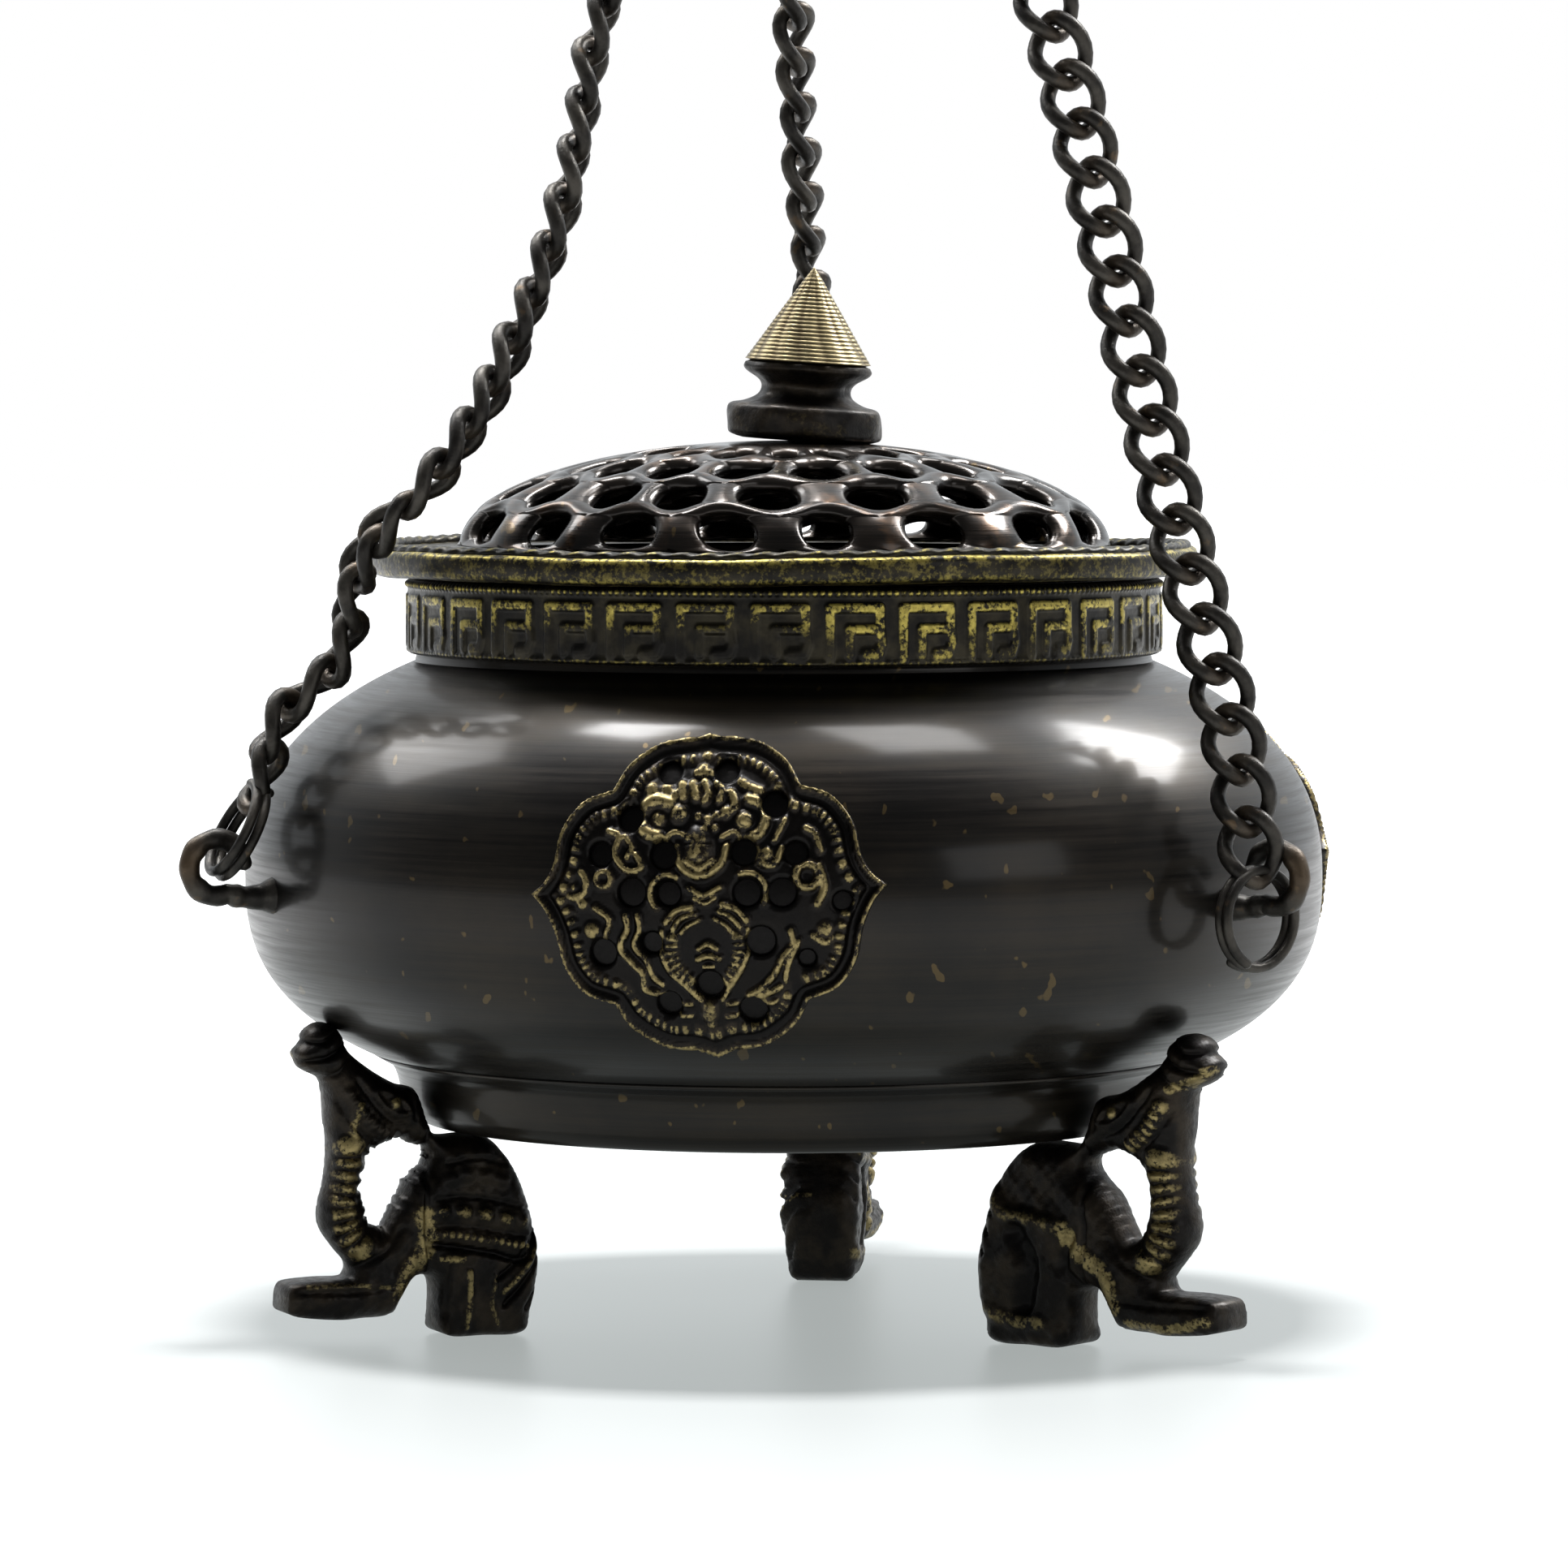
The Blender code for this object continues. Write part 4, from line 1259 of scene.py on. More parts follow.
    def flank(self) -> list[Mark]:
        """The plainer face: shoulder, haunch and a rubbed edge down the foreleg.

        Returns:
            The marks, as (distance from the bowl's axis, height).
        """
        return [
            Mark(((51.1, 25.6), (49.9, 23.8), (48.2, 22.0), (46.9, 21.1)), 1.05, 0.6, 0.95, 1.1),
            Mark(((39.4, 12.4), (40.4, 10.4), (42.8, 9.1), (44.4, 7.6), (45.4, 4.8)), 1.25, 0.35, worn=1.1),
            Mark(((29.6, 16.4), (31.6, 13.8), (34.6, 13.4), (38.4, 12.7)), 1.1, 0.55, worn=0.5),
            Mark(((33.4, 11.6), (35.2, 8.4), (34.4, 4.4)), 1.5, -0.9),
            Mark(((40.2, 12.0), (39.2, 8.6), (40.4, 6.6)), 0.8, -0.7),
            Mark(((28.4, 13.4), (29.8, 11.2)), 0.35, -0.45), Mark(((27.8, 11.4), (29.2, 9.2)), 0.35, -0.45),
            Mark(((28.2, 15.0), (30.4, 13.4)), 0.35, -0.4),
            Mark(((29.4, 3.4), (32.6, 2.6), (36.4, 2.4)), 1.1, 0.25, worn=0.55),
            Mark(((51.9, 27.6), (54.2, 28.4), (56.0, 29.6)), 0.7, 0.3, worn=1.0),
            Mark(((47.0, 3.2), (52.0, 3.0), (57.0, 4.2)), 0.8, 0.15, worn=0.9),
        ]

    def build(self, side: Side) -> None:
        """Builds the foot at one side.

        Args:
            side: The side.
        """
        node = f"elephant_foot_{side.label}"
        out, sideways, up = side_axes(side.value)
        hole = smooth_line(self.hole, 10, closed=True)
        count = np.arange(len(hole))[:, None]
        ragged = np.sin(0.37 * count) * np.sin(0.83 * count + 1) + 0.5 * np.sin(1.7 * count)
        hole = hole + self.flash[side] * ragged * unit(hole.mean(0) - hole)
        sheet = Sheet([smooth_line(self.outline, 5, closed=True), hole], self.step)
        limb = np.array(self.limbs)
        away = ((sheet.places[:, None] - limb[:, :2]) ** 2).sum(-1)
        weight = np.exp(-away / limb[:, 2] ** 2) + 1e-9
        thick = (weight * limb[:, 3]).sum(1) / weight.sum(1)
        share = 1 - np.minimum(sheet.inset / self.edge, 1)
        x, y = sheet.places.T
        flat = np.maximum(1 - smooth_step(y, 0.4, 2.6), smooth_step(x, 47.0, 52.0) * (1 - smooth_step(y, 6.0, 7.5)))
        rim = self.rim + (0.72 * thick - self.rim) * flat
        body = rim + (thick - rim) * np.sqrt(1 - share**2)
        soft = smooth_step(sheet.inset, 0.0, 0.7)
        lumps = 0.09 * np.sin(1.9 * x + 0.8 * y) * np.sin(1.3 * y - 0.6 * x) + 0.05 * np.sin(4.1 * x) * np.sin(3.7 * y)
        faces = []
        for marks in (self.blanket(), self.flank()):
            height, worn = relief(sheet.places, [*self.common(), *marks])
            faces.append((np.maximum(body + (height + lumps) * (0.25 + 0.75 * soft), 0.2), worn))
        (plus, plus_worn), (minus, minus_worn) = faces

        def wrap(places: Array, height: Array) -> Array:
            """Stands the foot's plane up at its side, with height along the -sideways direction."""
            reach = 40 + (places[:, :1] - 40) * self.squeeze[side]
            return reach * out + places[:, 1:] * up - height[:, None] * sideways

        points, quads = sheet.solid(minus, -plus, wrap)
        shape = Shape()
        shape.add(points, quads, np.concatenate([minus_worn, plus_worn]))
        shape.build(f"cast_elephant_{side.label}", CAST, Body.BOWL, [node], "dark_bronze")


# ---------------------------------------------------------------------------------------------------- medallions


@dataclass
class Medallion:
    """A pierced plaque on the belly: a lobed rim, a border of radial beads and a crowned mask among scrolls, over a
    sheet painted near-black as painted shade in its holes.
    """

    belly: Belly
    middle_z: float = 49.0
    step: float = 0.22
    gap: float = 0.05
    plate: float = 0.95
    half: tuple[tuple[Point, ...], ...] = (  # each lobe of the right half, from its first cusp to its last
        ((0.0, 15.4), (0.5, 14.75), (4.6, 14.2), (7.7, 12.4), (9.3, 10.0)),
        ((9.3, 10.0), (12.2, 9.0), (14.4, 6.4), (15.2, 3.3), (16.2, 1.6), (17.7, 0.4)),
        ((17.7, 0.4), (16.3, -1.2), (15.2, -3.6), (14.4, -6.8), (12.5, -9.3), (9.6, -10.4)),
        ((9.6, -10.4), (8.2, -12.6), (5.0, -14.6), (2.0, -15.0), (0.0, -15.8)),
    )
    holes: tuple[tuple[float, float, float], ...] = (
        (-3.7, 11.6, 1.15), (1.9, 11.6, 1.15), (6.8, 8.4, 1.3), (-7.3, 7.4, 1.25), (-10.4, 4.1, 1.15),
        (-4.0, 3.9, 1.3), (3.9, 4.0, 1.25), (8.9, 3.7, 1.1), (-7.3, 0.4, 1.35), (-3.6, 0.2, 1.15), (4.1, 0.1, 1.3),
        (7.5, 0.0, 1.35), (13.3, -1.0, 0.9), (-5.4, -4.5, 1.0), (5.3, -4.6, 1.4), (-10.4, -5.4, 1.3),
        (9.7, -6.4, 0.8), (0.1, -8.7, 1.3), (-4.1, -10.5, 1.2), (4.1, -11.3, 1.35),
    )

    def outline(self) -> Array:
        """Draws the plaque's edge: each lobe is smooth, and the lobes meet in cusps.

        Returns:
            Its points, anticlockwise.
        """
        right = np.vstack([smooth_line(lobe, 6)[:-1] for lobe in self.half])
        right = right[::-1]
        left = right[::-1] * [-1, 1]
        return np.vstack([right, left[1:], [(0.0, -15.8)]])

    def marks(self) -> list[Mark]:
        """The mask's crown, face, collar and skirt, with the scrolls and ribbons at its sides.

        Returns:
            The marks, as (sideways, up) from the plaque's middle.
        """
        crown = [Mark(((-0.4, 12.2), (-0.3, 11.2)), 0.6, 0.7), Mark(((-1.0, 11.2), (0.5, 11.2)), 0.5, 0.55),
                 dot(-5.3, 9.8, 0.85, 0.8), dot(-3.8, 9.9, 0.75, 0.5), dot(-3.0, 9.3, 0.6, 0.6),
                 Mark(((-2.3, 10.1), (-2.2, 9.1)), 0.6, 0.75), Mark(((-1.2, 10.1), (-0.9, 9.1)), 0.65, 0.8),
                 Mark(((-0.1, 10.3), (0.3, 9.3), (0.0, 8.6)), 0.5, 0.7),
                 Mark(((1.1, 10.2), (1.6, 9.5), (1.4, 8.7)), 0.5, 0.65),
                 Mark(((2.5, 9.3), (2.9, 8.6), (2.9, 7.9)), 0.55, 0.65),
                 Mark(((3.4, 10.3), (4.3, 9.8), (5.3, 9.4)), 0.55, 0.4),
                 Mark(((-3.4, 8.5), (-5.1, 8.8), (-6.3, 7.5), (-5.9, 6.1), (-4.5, 5.5)), 0.8, 0.8),
                 dot(-4.5, 7.1, 0.85, 0.55),
                 dot(-2.5, 7.6, 1.05, 0.85), dot(0.3, 6.9, 0.6, 0.7), dot(-0.6, 7.3, 0.5, 0.45),
                 dot(1.2, 7.3, 0.5, 0.45),
                 dot(0.0, 6.1, 0.5, 0.45), dot(1.0, 6.2, 0.5, 0.45), dot(2.1, 7.6, 0.75, 0.6),
                 dot(3.9, 6.8, 1.05, 0.85),
                 Mark(((4.2, 8.7), (5.5, 8.2), (6.0, 7.0), (5.4, 5.6), (4.4, 5.2)), 0.65, 0.7),
                 Mark(((-4.1, 5.0), (-2.9, 5.9), (-1.4, 5.3)), 0.34, 0.5),
                 Mark(((1.7, 5.3), (2.9, 5.8), (3.7, 5.0)), 0.34, 0.5)]
        face = [Mark(((-0.6, 4.9), (-0.6, 3.8)), 1.75, 0.8, worn=0.5), Mark(((-0.6, 4.6), (-0.6, 3.9)), 0.36, 1.0),
                Mark(((-1.7, 4.8), (-1.1, 4.8)), 0.24, -0.35, worn=0),
                Mark(((-0.1, 4.8), (0.5, 4.8)), 0.24, -0.35, worn=0),
                Mark(((-1.0, 3.2), (-0.6, 3.1), (-0.2, 3.2)), 0.2, -0.3, worn=0),
                Mark(((-2.7, 4.5), (-2.3, 2.8), (-0.5, 1.8), (1.5, 2.7), (2.2, 4.4)), 0.5, 0.7),
                Mark(((-1.9, 3.3), (-0.5, 2.5), (0.9, 3.2)), 0.32, 0.75)]
        collar = [Mark(((-1.5, 0.7), (-0.1, 0.0), (1.5, 0.7)), 0.36, 0.6),
                  Mark(((-1.0, -0.3), (0.0, -0.8), (1.0, -0.3)), 0.3, 0.5),
                  ring_mark(-3.6, 0.2, 1.75, 0.36, 0.55, 60, 230), ring_mark(4.1, 0.1, 1.9, 0.4, 0.6, -30, 110)]
        drop = ((0.1, -2.9), (-1.2, -4.2), (-1.9, -5.4), (-1.4, -6.8), (0.1, -7.4), (1.6, -6.8), (2.0, -5.4),
                (1.4, -4.2), (0.1, -2.9))
        skirt = [Mark(((-3.9, -2.6), (-2.9, -1.5), (-1.3, -1.1)), 0.42, 0.65),
                 Mark(((-3.2, -3.2), (-2.4, -2.2), (-1.0, -1.8)), 0.36, 0.6),
                 Mark(((-2.4, -3.6), (-1.7, -2.9), (-0.6, -2.4)), 0.3, 0.55),
                 Mark(((4.0, -2.6), (3.1, -1.5), (1.7, -0.9)), 0.42, 0.65),
                 Mark(((3.4, -3.2), (2.5, -2.2), (1.4, -1.6)), 0.36, 0.6),
                 Mark(((2.5, -3.6), (1.9, -2.9), (0.9, -2.3)), 0.3, 0.55),
                 Mark(((-4.3, -3.4), (-4.5, -5.0), (-3.8, -7.0), (-2.2, -8.6), (-0.9, -9.9)), 0.36, 0.6),
                 Mark(((4.1, -3.4), (4.2, -4.8), (3.6, -6.6), (2.5, -8.2), (1.2, -9.9)), 0.36, 0.6),
                 Mark(((-3.3, -4.2), (-3.4, -5.6), (-2.9, -7.0), (-1.8, -8.0)), 0.85, 0.55, 0.62, 0.85),
                 Mark(((3.1, -4.2), (3.1, -5.4), (2.7, -6.8), (1.8, -8.2)), 0.8, 0.55, 0.62, 0.85),
                 Mark(drop, 0.4, -0.6, worn=0),
                 Mark(((-0.8, -5.2), (0.1, -4.7), (1.0, -5.2)), 0.34, 0.55),
                 Mark(((-0.9, -6.1), (0.1, -5.8), (1.2, -6.1)), 0.42, 0.6),
                 Mark(((-0.3, -6.8), (0.6, -6.8)), 0.3, 0.45)]
        left_outer = ((-7.9, -1.8), (-7.7, -3.1), (-8.5, -4.8), (-7.5, -6.2), (-6.4, -7.4), (-6.3, -8.8), (-4.6, -9.3))
        left_inner = ((-6.7, -1.8), (-6.5, -3.1), (-7.1, -4.7), (-6.0, -6.1), (-5.4, -7.6), (-4.5, -8.4))
        ribbons = [Mark(left_outer, 0.42, 0.65), Mark(left_inner, 0.36, 0.6),
                   Mark(((8.2, -3.7), (8.3, -5.0), (7.2, -6.3), (6.4, -7.7), (5.1, -8.9), (3.8, -9.6)), 0.42, 0.65),
                   Mark(((8.9, -4.7), (7.9, -6.6), (7.5, -8.1), (7.7, -9.4), (6.4, -10.3), (5.0, -10.2)), 0.36, 0.6),
                   Mark(((4.6, -9.9), (6.0, -9.3), (7.0, -8.9)), 0.42, 0.5)]
        scrolls = [Mark(((-9.4, 6.1), (-8.4, 5.6), (-8.8, 4.0), (-7.6, 2.5), (-6.1, 2.7), (-6.7, 3.9)), 0.42, 0.7),
                   Mark(((-7.8, 5.6), (-7.1, 4.6), (-7.6, 3.7)), 0.36, 0.6),
                   Mark(((7.8, 6.7), (6.8, 4.9)), 0.36, 0.6),
                   Mark(((5.1, 4.2), (5.4, 2.9), (6.8, 2.7), (7.5, 4.1)), 0.45, 0.65),
                   dot(6.1, 3.7, 0.75, 0.6), Mark(((9.8, 5.9), (10.7, 5.3), (11.2, 3.8)), 0.4, 0.6),
                   ring_mark(9.9, 1.5, 1.1, 0.5, 0.75, -20, 320),
                   Mark(((11.0, 2.4), (11.5, 0.4), (10.8, -1.2)), 0.5, 0.55),
                   ring_mark(-13.0, 1.3, 1.3, 0.45, 0.5), dot(-13.3, 1.0, 0.6, 0.5),
                   ring_mark(-10.0, 1.7, 0.75, 0.34, 0.5),
                   dot(-12.2, -0.6, 0.7, 0.5), dot(-13.3, -1.6, 0.6, 0.35), dot(-11.3, -3.2, 0.95, 0.6),
                   Mark(((-10.9, -1.0), (-9.5, -2.2), (-10.0, -3.9)), 0.4, 0.6), dot(11.5, -3.7, 0.9, 0.35),
                   Mark(((10.3, -4.2), (11.4, -4.9), (12.6, -4.3)), 0.42, 0.35)]
        foot = [Mark(((-3.1, -10.3), (-1.8, -10.3)), 0.3, 0.5), Mark(((-3.1, -11.4), (-1.9, -11.4)), 0.3, 0.5),
                Mark(((1.6, -10.4), (2.7, -10.3)), 0.3, 0.5), Mark(((1.5, -11.6), (2.5, -11.5)), 0.3, 0.5),
                Mark(((-0.1, -10.7), (-0.2, -11.4)), 0.95, 0.6, worn=0.6), dot(-0.2, -12.4, 0.55, 0.5),
                dot(-0.5, 13.4, 0.6, 0.55), dot(0.0, -13.9, 0.8, 0.45)]
        return [*crown, *face, *collar, *skirt, *ribbons, *scrolls, *foot]

    def build(self, name: str, degrees: float, tilt: float = 0.0) -> None:
        """Builds one medallion.

        Args:
            name: The last part of its CAD node's name.
            degrees: Its angle round the axis.
            tilt: How far it is turned on the belly, in degrees.
        """
        turn = np.linspace(0, 2 * math.pi, 18, endpoint=False)
        rounds = [np.stack([x + r * np.cos(turn), y + r * np.sin(turn)], -1) for x, y, r in self.holes]
        outline = self.outline()
        sheet = Sheet([outline, *rounds], self.step)
        edge, share, _ = nearest_on(sheet.places, outline, np.roll(outline, -1, 0))
        steps = np.concatenate([[0], np.cumsum(np.linalg.norm(np.roll(outline, -1, 0) - outline, axis=1))])
        along = np.interp(share, np.arange(len(steps)), steps)
        height, worn = relief(sheet.places, self.marks())
        rim = np.maximum(1 - ((edge - 0.34) / 0.34) ** 2, 0)
        bead = np.maximum(1 - ((edge - 2.1) / 0.62) ** 2, 0) * np.abs(np.cos(math.pi * along / 0.98)) ** 1.2
        clear = smooth_step(edge, 2.5, 3.1)
        border = np.maximum(0.55 * rim, 0.5 * bead)
        height = np.maximum(height * clear, border) - 0.3 * (1 - smooth_step(np.abs(edge - 1.1), 0.15, 0.45))
        field = smooth_step(worn, 0.02, 0.3)
        worn = np.maximum(worn * clear, np.maximum(0.8 * rim, 0.8 * bead))
        worn = worn - 0.6 * (1 - np.maximum(field, smooth_step(worn, 0.02, 0.3)))
        hole = smooth_step(sheet.inset, 0.0, 0.35)
        front = self.plate * (0.55 + 0.45 * hole) + height * (0.3 + 0.7 * hole)
        out, sideways, up = side_axes(degrees)
        lean = math.radians(tilt)
        turned_by = np.array([[math.cos(lean), -math.sin(lean)], [math.sin(lean), math.cos(lean)]])

        def wrap(places: Array, lift: Array) -> Array:
            """Lays places on the belly, straight along the medallion's own outward direction.

            Args:
                places: Places as (sideways, up) from the plaque's middle.
                lift: How far each is raised off the belly.

            Returns:
                The points in space.
            """
            x, y = (places @ turned_by.T).T
            x, z = x + 0.3, self.middle_z + y
            radius = self.belly.radius_at(z, 0.0) + self.gap
            depth = np.sqrt(radius**2 - x**2)
            base = depth[:, None] * out + x[:, None] * sideways + z[:, None] * up
            slope = (self.belly.radius_at(z + 0.1) - self.belly.radius_at(z - 0.1)) / 0.2
            normal = unit(depth[:, None] * out + x[:, None] * sideways) - slope[:, None] * up
            return base + unit(normal) * lift[:, None]

        points, quads = sheet.solid(front, np.zeros(len(front)), wrap)
        shape = Shape()
        # The plaque's back is painted near-black (value -1), so each hole's wall darkens towards the belly: painted
        # shade.
        shape.add(points, quads, np.concatenate([worn, np.full(len(worn), -1.0)]))
        # A thin sheet on the belly under the plaque, painted near-black: painted shade seen through the holes.
        shade_backing = Sheet([outline * 0.94], 1.0)
        points, quads = shade_backing.solid(np.full(len(shade_backing.places), 0.16), np.zeros(len(shade_backing.places)), wrap)
        shape.add(points, quads, -1.0)
        shape.build(f"plaque_{name}", STRUCK, Body.BOWL, [f"medallion_{name}"], "worn_brass")


# ---------------------------------------------------------------------------------------------------- chains


@dataclass
class ChainHook:
    """A forged eye on a stem, with the lump of solder that holds it on the belly."""

    belly: Belly
    centre: Point = (63.0, 49.5)
    radius: float = 2.95
    wire: float = 1.08

    def build(self, side: Side) -> None:
        """Builds the hook at one side, in the plane through the bowl's axis.

        Args:
            side: The side.
        """
        out, sideways, up = side_axes(side.value)
        turn = np.radians(np.linspace(-112, 172, 40))
        eye = np.stack([self.centre[0] + self.radius * np.cos(turn), self.centre[1] + self.radius * np.sin(turn)], -1)
        stem = smooth_line([(56.8, 46.4), (58.6, 46.3), (60.4, 46.4), eye[0]], 6)[:-1]
        line = np.vstack([stem, eye])
        path = line[:, :1] * out + line[:, 1:] * up
        along = np.linspace(0, 1, len(path))
        radius = self.wire * (1 + 0.85 * np.exp(-along / 0.09) + 0.05 * np.sin(31 * along) + 0.05 * np.sin(57 * along))
        radius = radius * (1 - 0.22 * smooth_step(along, 0.86, 1.0))
        shape = Shape()
        points, faces = tube(path, radius, sideways, 16)
        worn = 0.75 * smooth_step(-np.abs(along - 0.62), -0.16, 0.0)
        worn = np.repeat(np.concatenate([np.zeros(4), worn, np.zeros(4)]), 16)
        shape.add(points, faces, worn)
        shape.build(f"forged_hook_{side.label}", WIRE, Body.BOWL, [f"chain_hook_{side.label}"], "gunmetal")


@dataclass
class SplitRing:
    """Two turns of springy wire, lying side by side."""

    radius: float = 4.95
    wire: float = 0.5
    pitch: float = 1.1
    places: dict[Side, tuple[Point, Point, Point, float]] = field(default_factory=lambda: {
        Side.LEFT: ((60.6, 0.0, 53.2), (0.88, 0.0, 0.47), (-0.47, 0.0, 0.88), 0.0),
        Side.BACK: ((60.6, 0.0, 53.2), (0.88, 0.0, 0.47), (-0.47, 0.0, 0.88), 0.0),
        Side.RIGHT: ((62.5, -2.6, 45.4), (0.979, -0.205, 0.0), (0.0, 0.0, 1.0), 150.0),
    })

    def build(self, side: Side) -> None:
        """Builds the ring at one side: a helix of two turns about the ring's own normal.

        Args:
            side: The side.
        """
        axes = np.stack(side_axes(side.value))
        centre, normal, first, start = self.places[side]
        normal = unit(np.array(normal))
        first = unit(np.array(first))
        second = np.cross(normal, first)
        turn = np.linspace(0, 2, 120)[:, None]
        angle = math.radians(start) + 2 * math.pi * turn
        close = (turn - 1) * self.pitch
        line = np.array(centre) + self.radius * (first * np.cos(angle) + second * np.sin(angle)) + normal * close
        points, faces = tube(line @ axes, self.wire * 1.06, normal @ axes, 12)
        shape = Shape()
        shape.add(points, faces)
        shape.build(f"wire_ring_{side.label}", WIRE, side.ring_body, [f"split_ring_{side.label}"], "gunmetal")


@dataclass
class CurbChain:
    """A chain of twisted oval links.

    A link's wire runs along (b cos s cos q, a sin s, b cos s sin q), where the twist q is twist * sin s, so that each
    end is turned to lie across its neighbour's.
    """

    half_length: float = 3.6
    half_width: float = 2.6
    wire: float = 0.83
    pitch: float = 5.3
    twist: float = math.radians(48)
    width: float = 6.2

    def build(self, side: Side, route: Sequence[Point], facing: tuple[Point, Point],
              on_it: Sequence[bpy.types.Object]) -> bpy.types.Object:
        """Builds one chain.

        Args:
            side: The chain's side.
            route: Points that its middle goes through, from the split ring to the gathering ring.
            facing: The way the flat of the chain faces at its foot and at its top.
            on_it: The pieces at its ends; not used.

        Returns:
            The chain.
        """
        line = smooth_line(route, 16)
        long = length_of(line)
        links = max(int(round((long - 2 * self.half_length) / self.pitch)) + 1, 2)
        pitch = (long - 2 * self.half_length) / (links - 1)
        at = self.half_length + pitch * np.arange(links)
        middle = spaced(line, at)
        along = unit(spaced(line, at + 1.5) - spaced(line, at - 1.5))
        share = (np.arange(links) / (links - 1))[:, None]
        face = (1 - share) * np.array(facing[0]) + share * np.array(facing[1])
        face = unit(face - (face * along).sum(-1, keepdims=True) * along)
        wide = np.cross(along, face)
        s = np.linspace(0, 2 * math.pi, 28, endpoint=False)[None, :, None]
        sway = 0.09 * np.sin(2.1 * np.arange(links))[:, None, None]
        q = self.twist * np.sin(s) + sway
        across = self.half_width * np.cos(s)
        path = (middle[:, None] + wide[:, None] * across * np.cos(q) + face[:, None] * across * np.sin(q)
                + along[:, None] * self.half_length * np.sin(s))
        points, faces = tube(path, self.wire, face[:, None] + 0 * path, 10, closed=True)
        worn = 0.35 * np.clip(np.abs(np.sin(s)) - 0.8, 0, 1) * 5 + 0 * points[..., 0]
        shape = Shape()
        shape.add(points, faces, worn)
        piece = shape.build(f"curb_chain_{side.label}", WIRE, Body.BOWL, [f"chain_{side.label}"], "gunmetal")
        path_m = [tuple(p) for p in spaced(line, np.linspace(0, long, 60)) * MM]
        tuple(path_m[0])
        log.info("chain %s: %d links, %.0f mm", side.label, links, long)
        return piece


ROUTES: dict[Side, tuple[Point, ...]] = {
    Side.LEFT: (
        (-51.9, -29.7, 55.6), (-50.2, -29.0, 58.9), (-49.0, -28.1, 63.8), (-45.9, -27.2, 67.5), (-42.5, -26.5, 71.4),
        (-41.4, -26.9, 76.1), (-39.5, -29.4, 81.0), (-36.4, -32.0, 84.9), (-32.9, -32.3, 88.2), (-30.0, -30.4, 92.4),
        (-27.1, -27.2, 97.8), (-24.0, -22.6, 106.2), (-21.1, -19.6, 115.4), (-19.3, -16.3, 125.6),
        (-17.4, -13.1, 137.5),
        (-10.6, -7.5, 157.0), (-4.3, -3.6, 178.0), (-1.6, -1.2, 200.8),
    ),
    Side.RIGHT: (
        (52.9, -34.3, 49.2), (51.9, -33.2, 54.0), (50.9, -31.8, 60.3), (48.7, -29.9, 69.0), (46.4, -28.4, 77.0),
        (43.2, -26.0, 88.0), (39.2, -22.8, 103.0), (35.1, -19.8, 119.0), (29.4, -15.6, 138.5), (21.7, -10.6, 161.0),
        (13.8, -5.0, 184.0), (9.4, -1.0, 201.0),
    ),
    Side.BACK: (
        (0.0, 59.6, 55.6), (0.0, 57.9, 58.9), (-0.1, 54.4, 64.5), (-0.2, 51.8, 70.3), (-0.6, 49.4, 77.0),
        (-0.9, 47.9, 82.5), (-1.3, 46.7, 88.0), (-1.8, 42.7, 98.0), (-2.2, 34.0, 116.5), (-2.3, 24.4, 137.5),
        (-1.2, 15.5, 159.0), (1.6, 7.0, 180.0), (4.0, 1.1, 199.5),
    ),
}
TOWARDS_CAMERA: Point = (0.1392, -0.9903, 0.0)
ACROSS_VIEW: Point = (0.9903, 0.1392, 0.0)
FACING: dict[Side, tuple[Point, Point]] = {
    Side.LEFT: (ACROSS_VIEW, ACROSS_VIEW),
    Side.RIGHT: (TOWARDS_CAMERA, TOWARDS_CAMERA),
    Side.BACK: (ACROSS_VIEW, (0.9, -0.35, 0.0)),
}


@dataclass
class Hanger:
    """The ring that gathers the chains, and the hook it hangs from."""

    centre: Point = (4.0, 0.5, 206.5)
    radius: float = 6.0
    wire: float = 1.0
    hook_wire: float = 1.1

    def build(self) -> list[bpy.types.Object]:
        """Builds both.

        Returns:
            The ring and the hook.
        """
        centre = np.array(self.centre)
        turn = np.linspace(0, 2 * math.pi, 72, endpoint=False)
        path = centre + self.radius * np.stack([np.cos(turn), 0 * turn, np.sin(turn)], axis=-1)
        ring = Shape()
        ring.add(*tube(path, self.wire, np.array([0.0, 1.0, 0.0]), 16, closed=True))
        gathering = ring.build("chain_gathering_ring", WIRE, Body.BOWL, ["gathering_ring"], "gunmetal")

        turn = np.radians(np.linspace(135, 420, 34))
        eye = np.stack([3.2 * np.cos(turn), 213.3 + 3.2 * np.sin(turn)], axis=-1)
        shank = smooth_line([(0.2, 218.6), (0.3, 220.4), (2.2, 222.4), (5.2, 224.6), (6.9, 228.0), (6.4, 232.0),
                             (3.6, 235.2), (0.0, 236.3), (-3.8, 235.1), (-6.5, 231.8), (-6.9, 228.2),
                             (-5.8, 225.8)], 8)
        bend = smooth_line([eye[-2], eye[-1], shank[0], shank[8]], 6)[6:12]
        line = np.vstack([eye[:-1], bend, shank])
        path = np.stack([0 * line[:, 0] + centre[0], line[:, 0] + centre[1], line[:, 1]], axis=-1)
        hook = Shape()
        hook.add(*tube(path, self.hook_wire, np.array([1.0, 0.0, 0.0]), 16))
        hanging = hook.build("s_hook", WIRE, Body.HANGER, ["hanging_hook"], "gunmetal")
        return [gathering, hanging]


# ---------------------------------------------------------------------------------------------------- studio


class Reach(Enum):
    """What a light does: show as a soft highlight in the metal, or light the floor round the shadow."""

    SHINE = "shine"
    FLOOR = "floor"


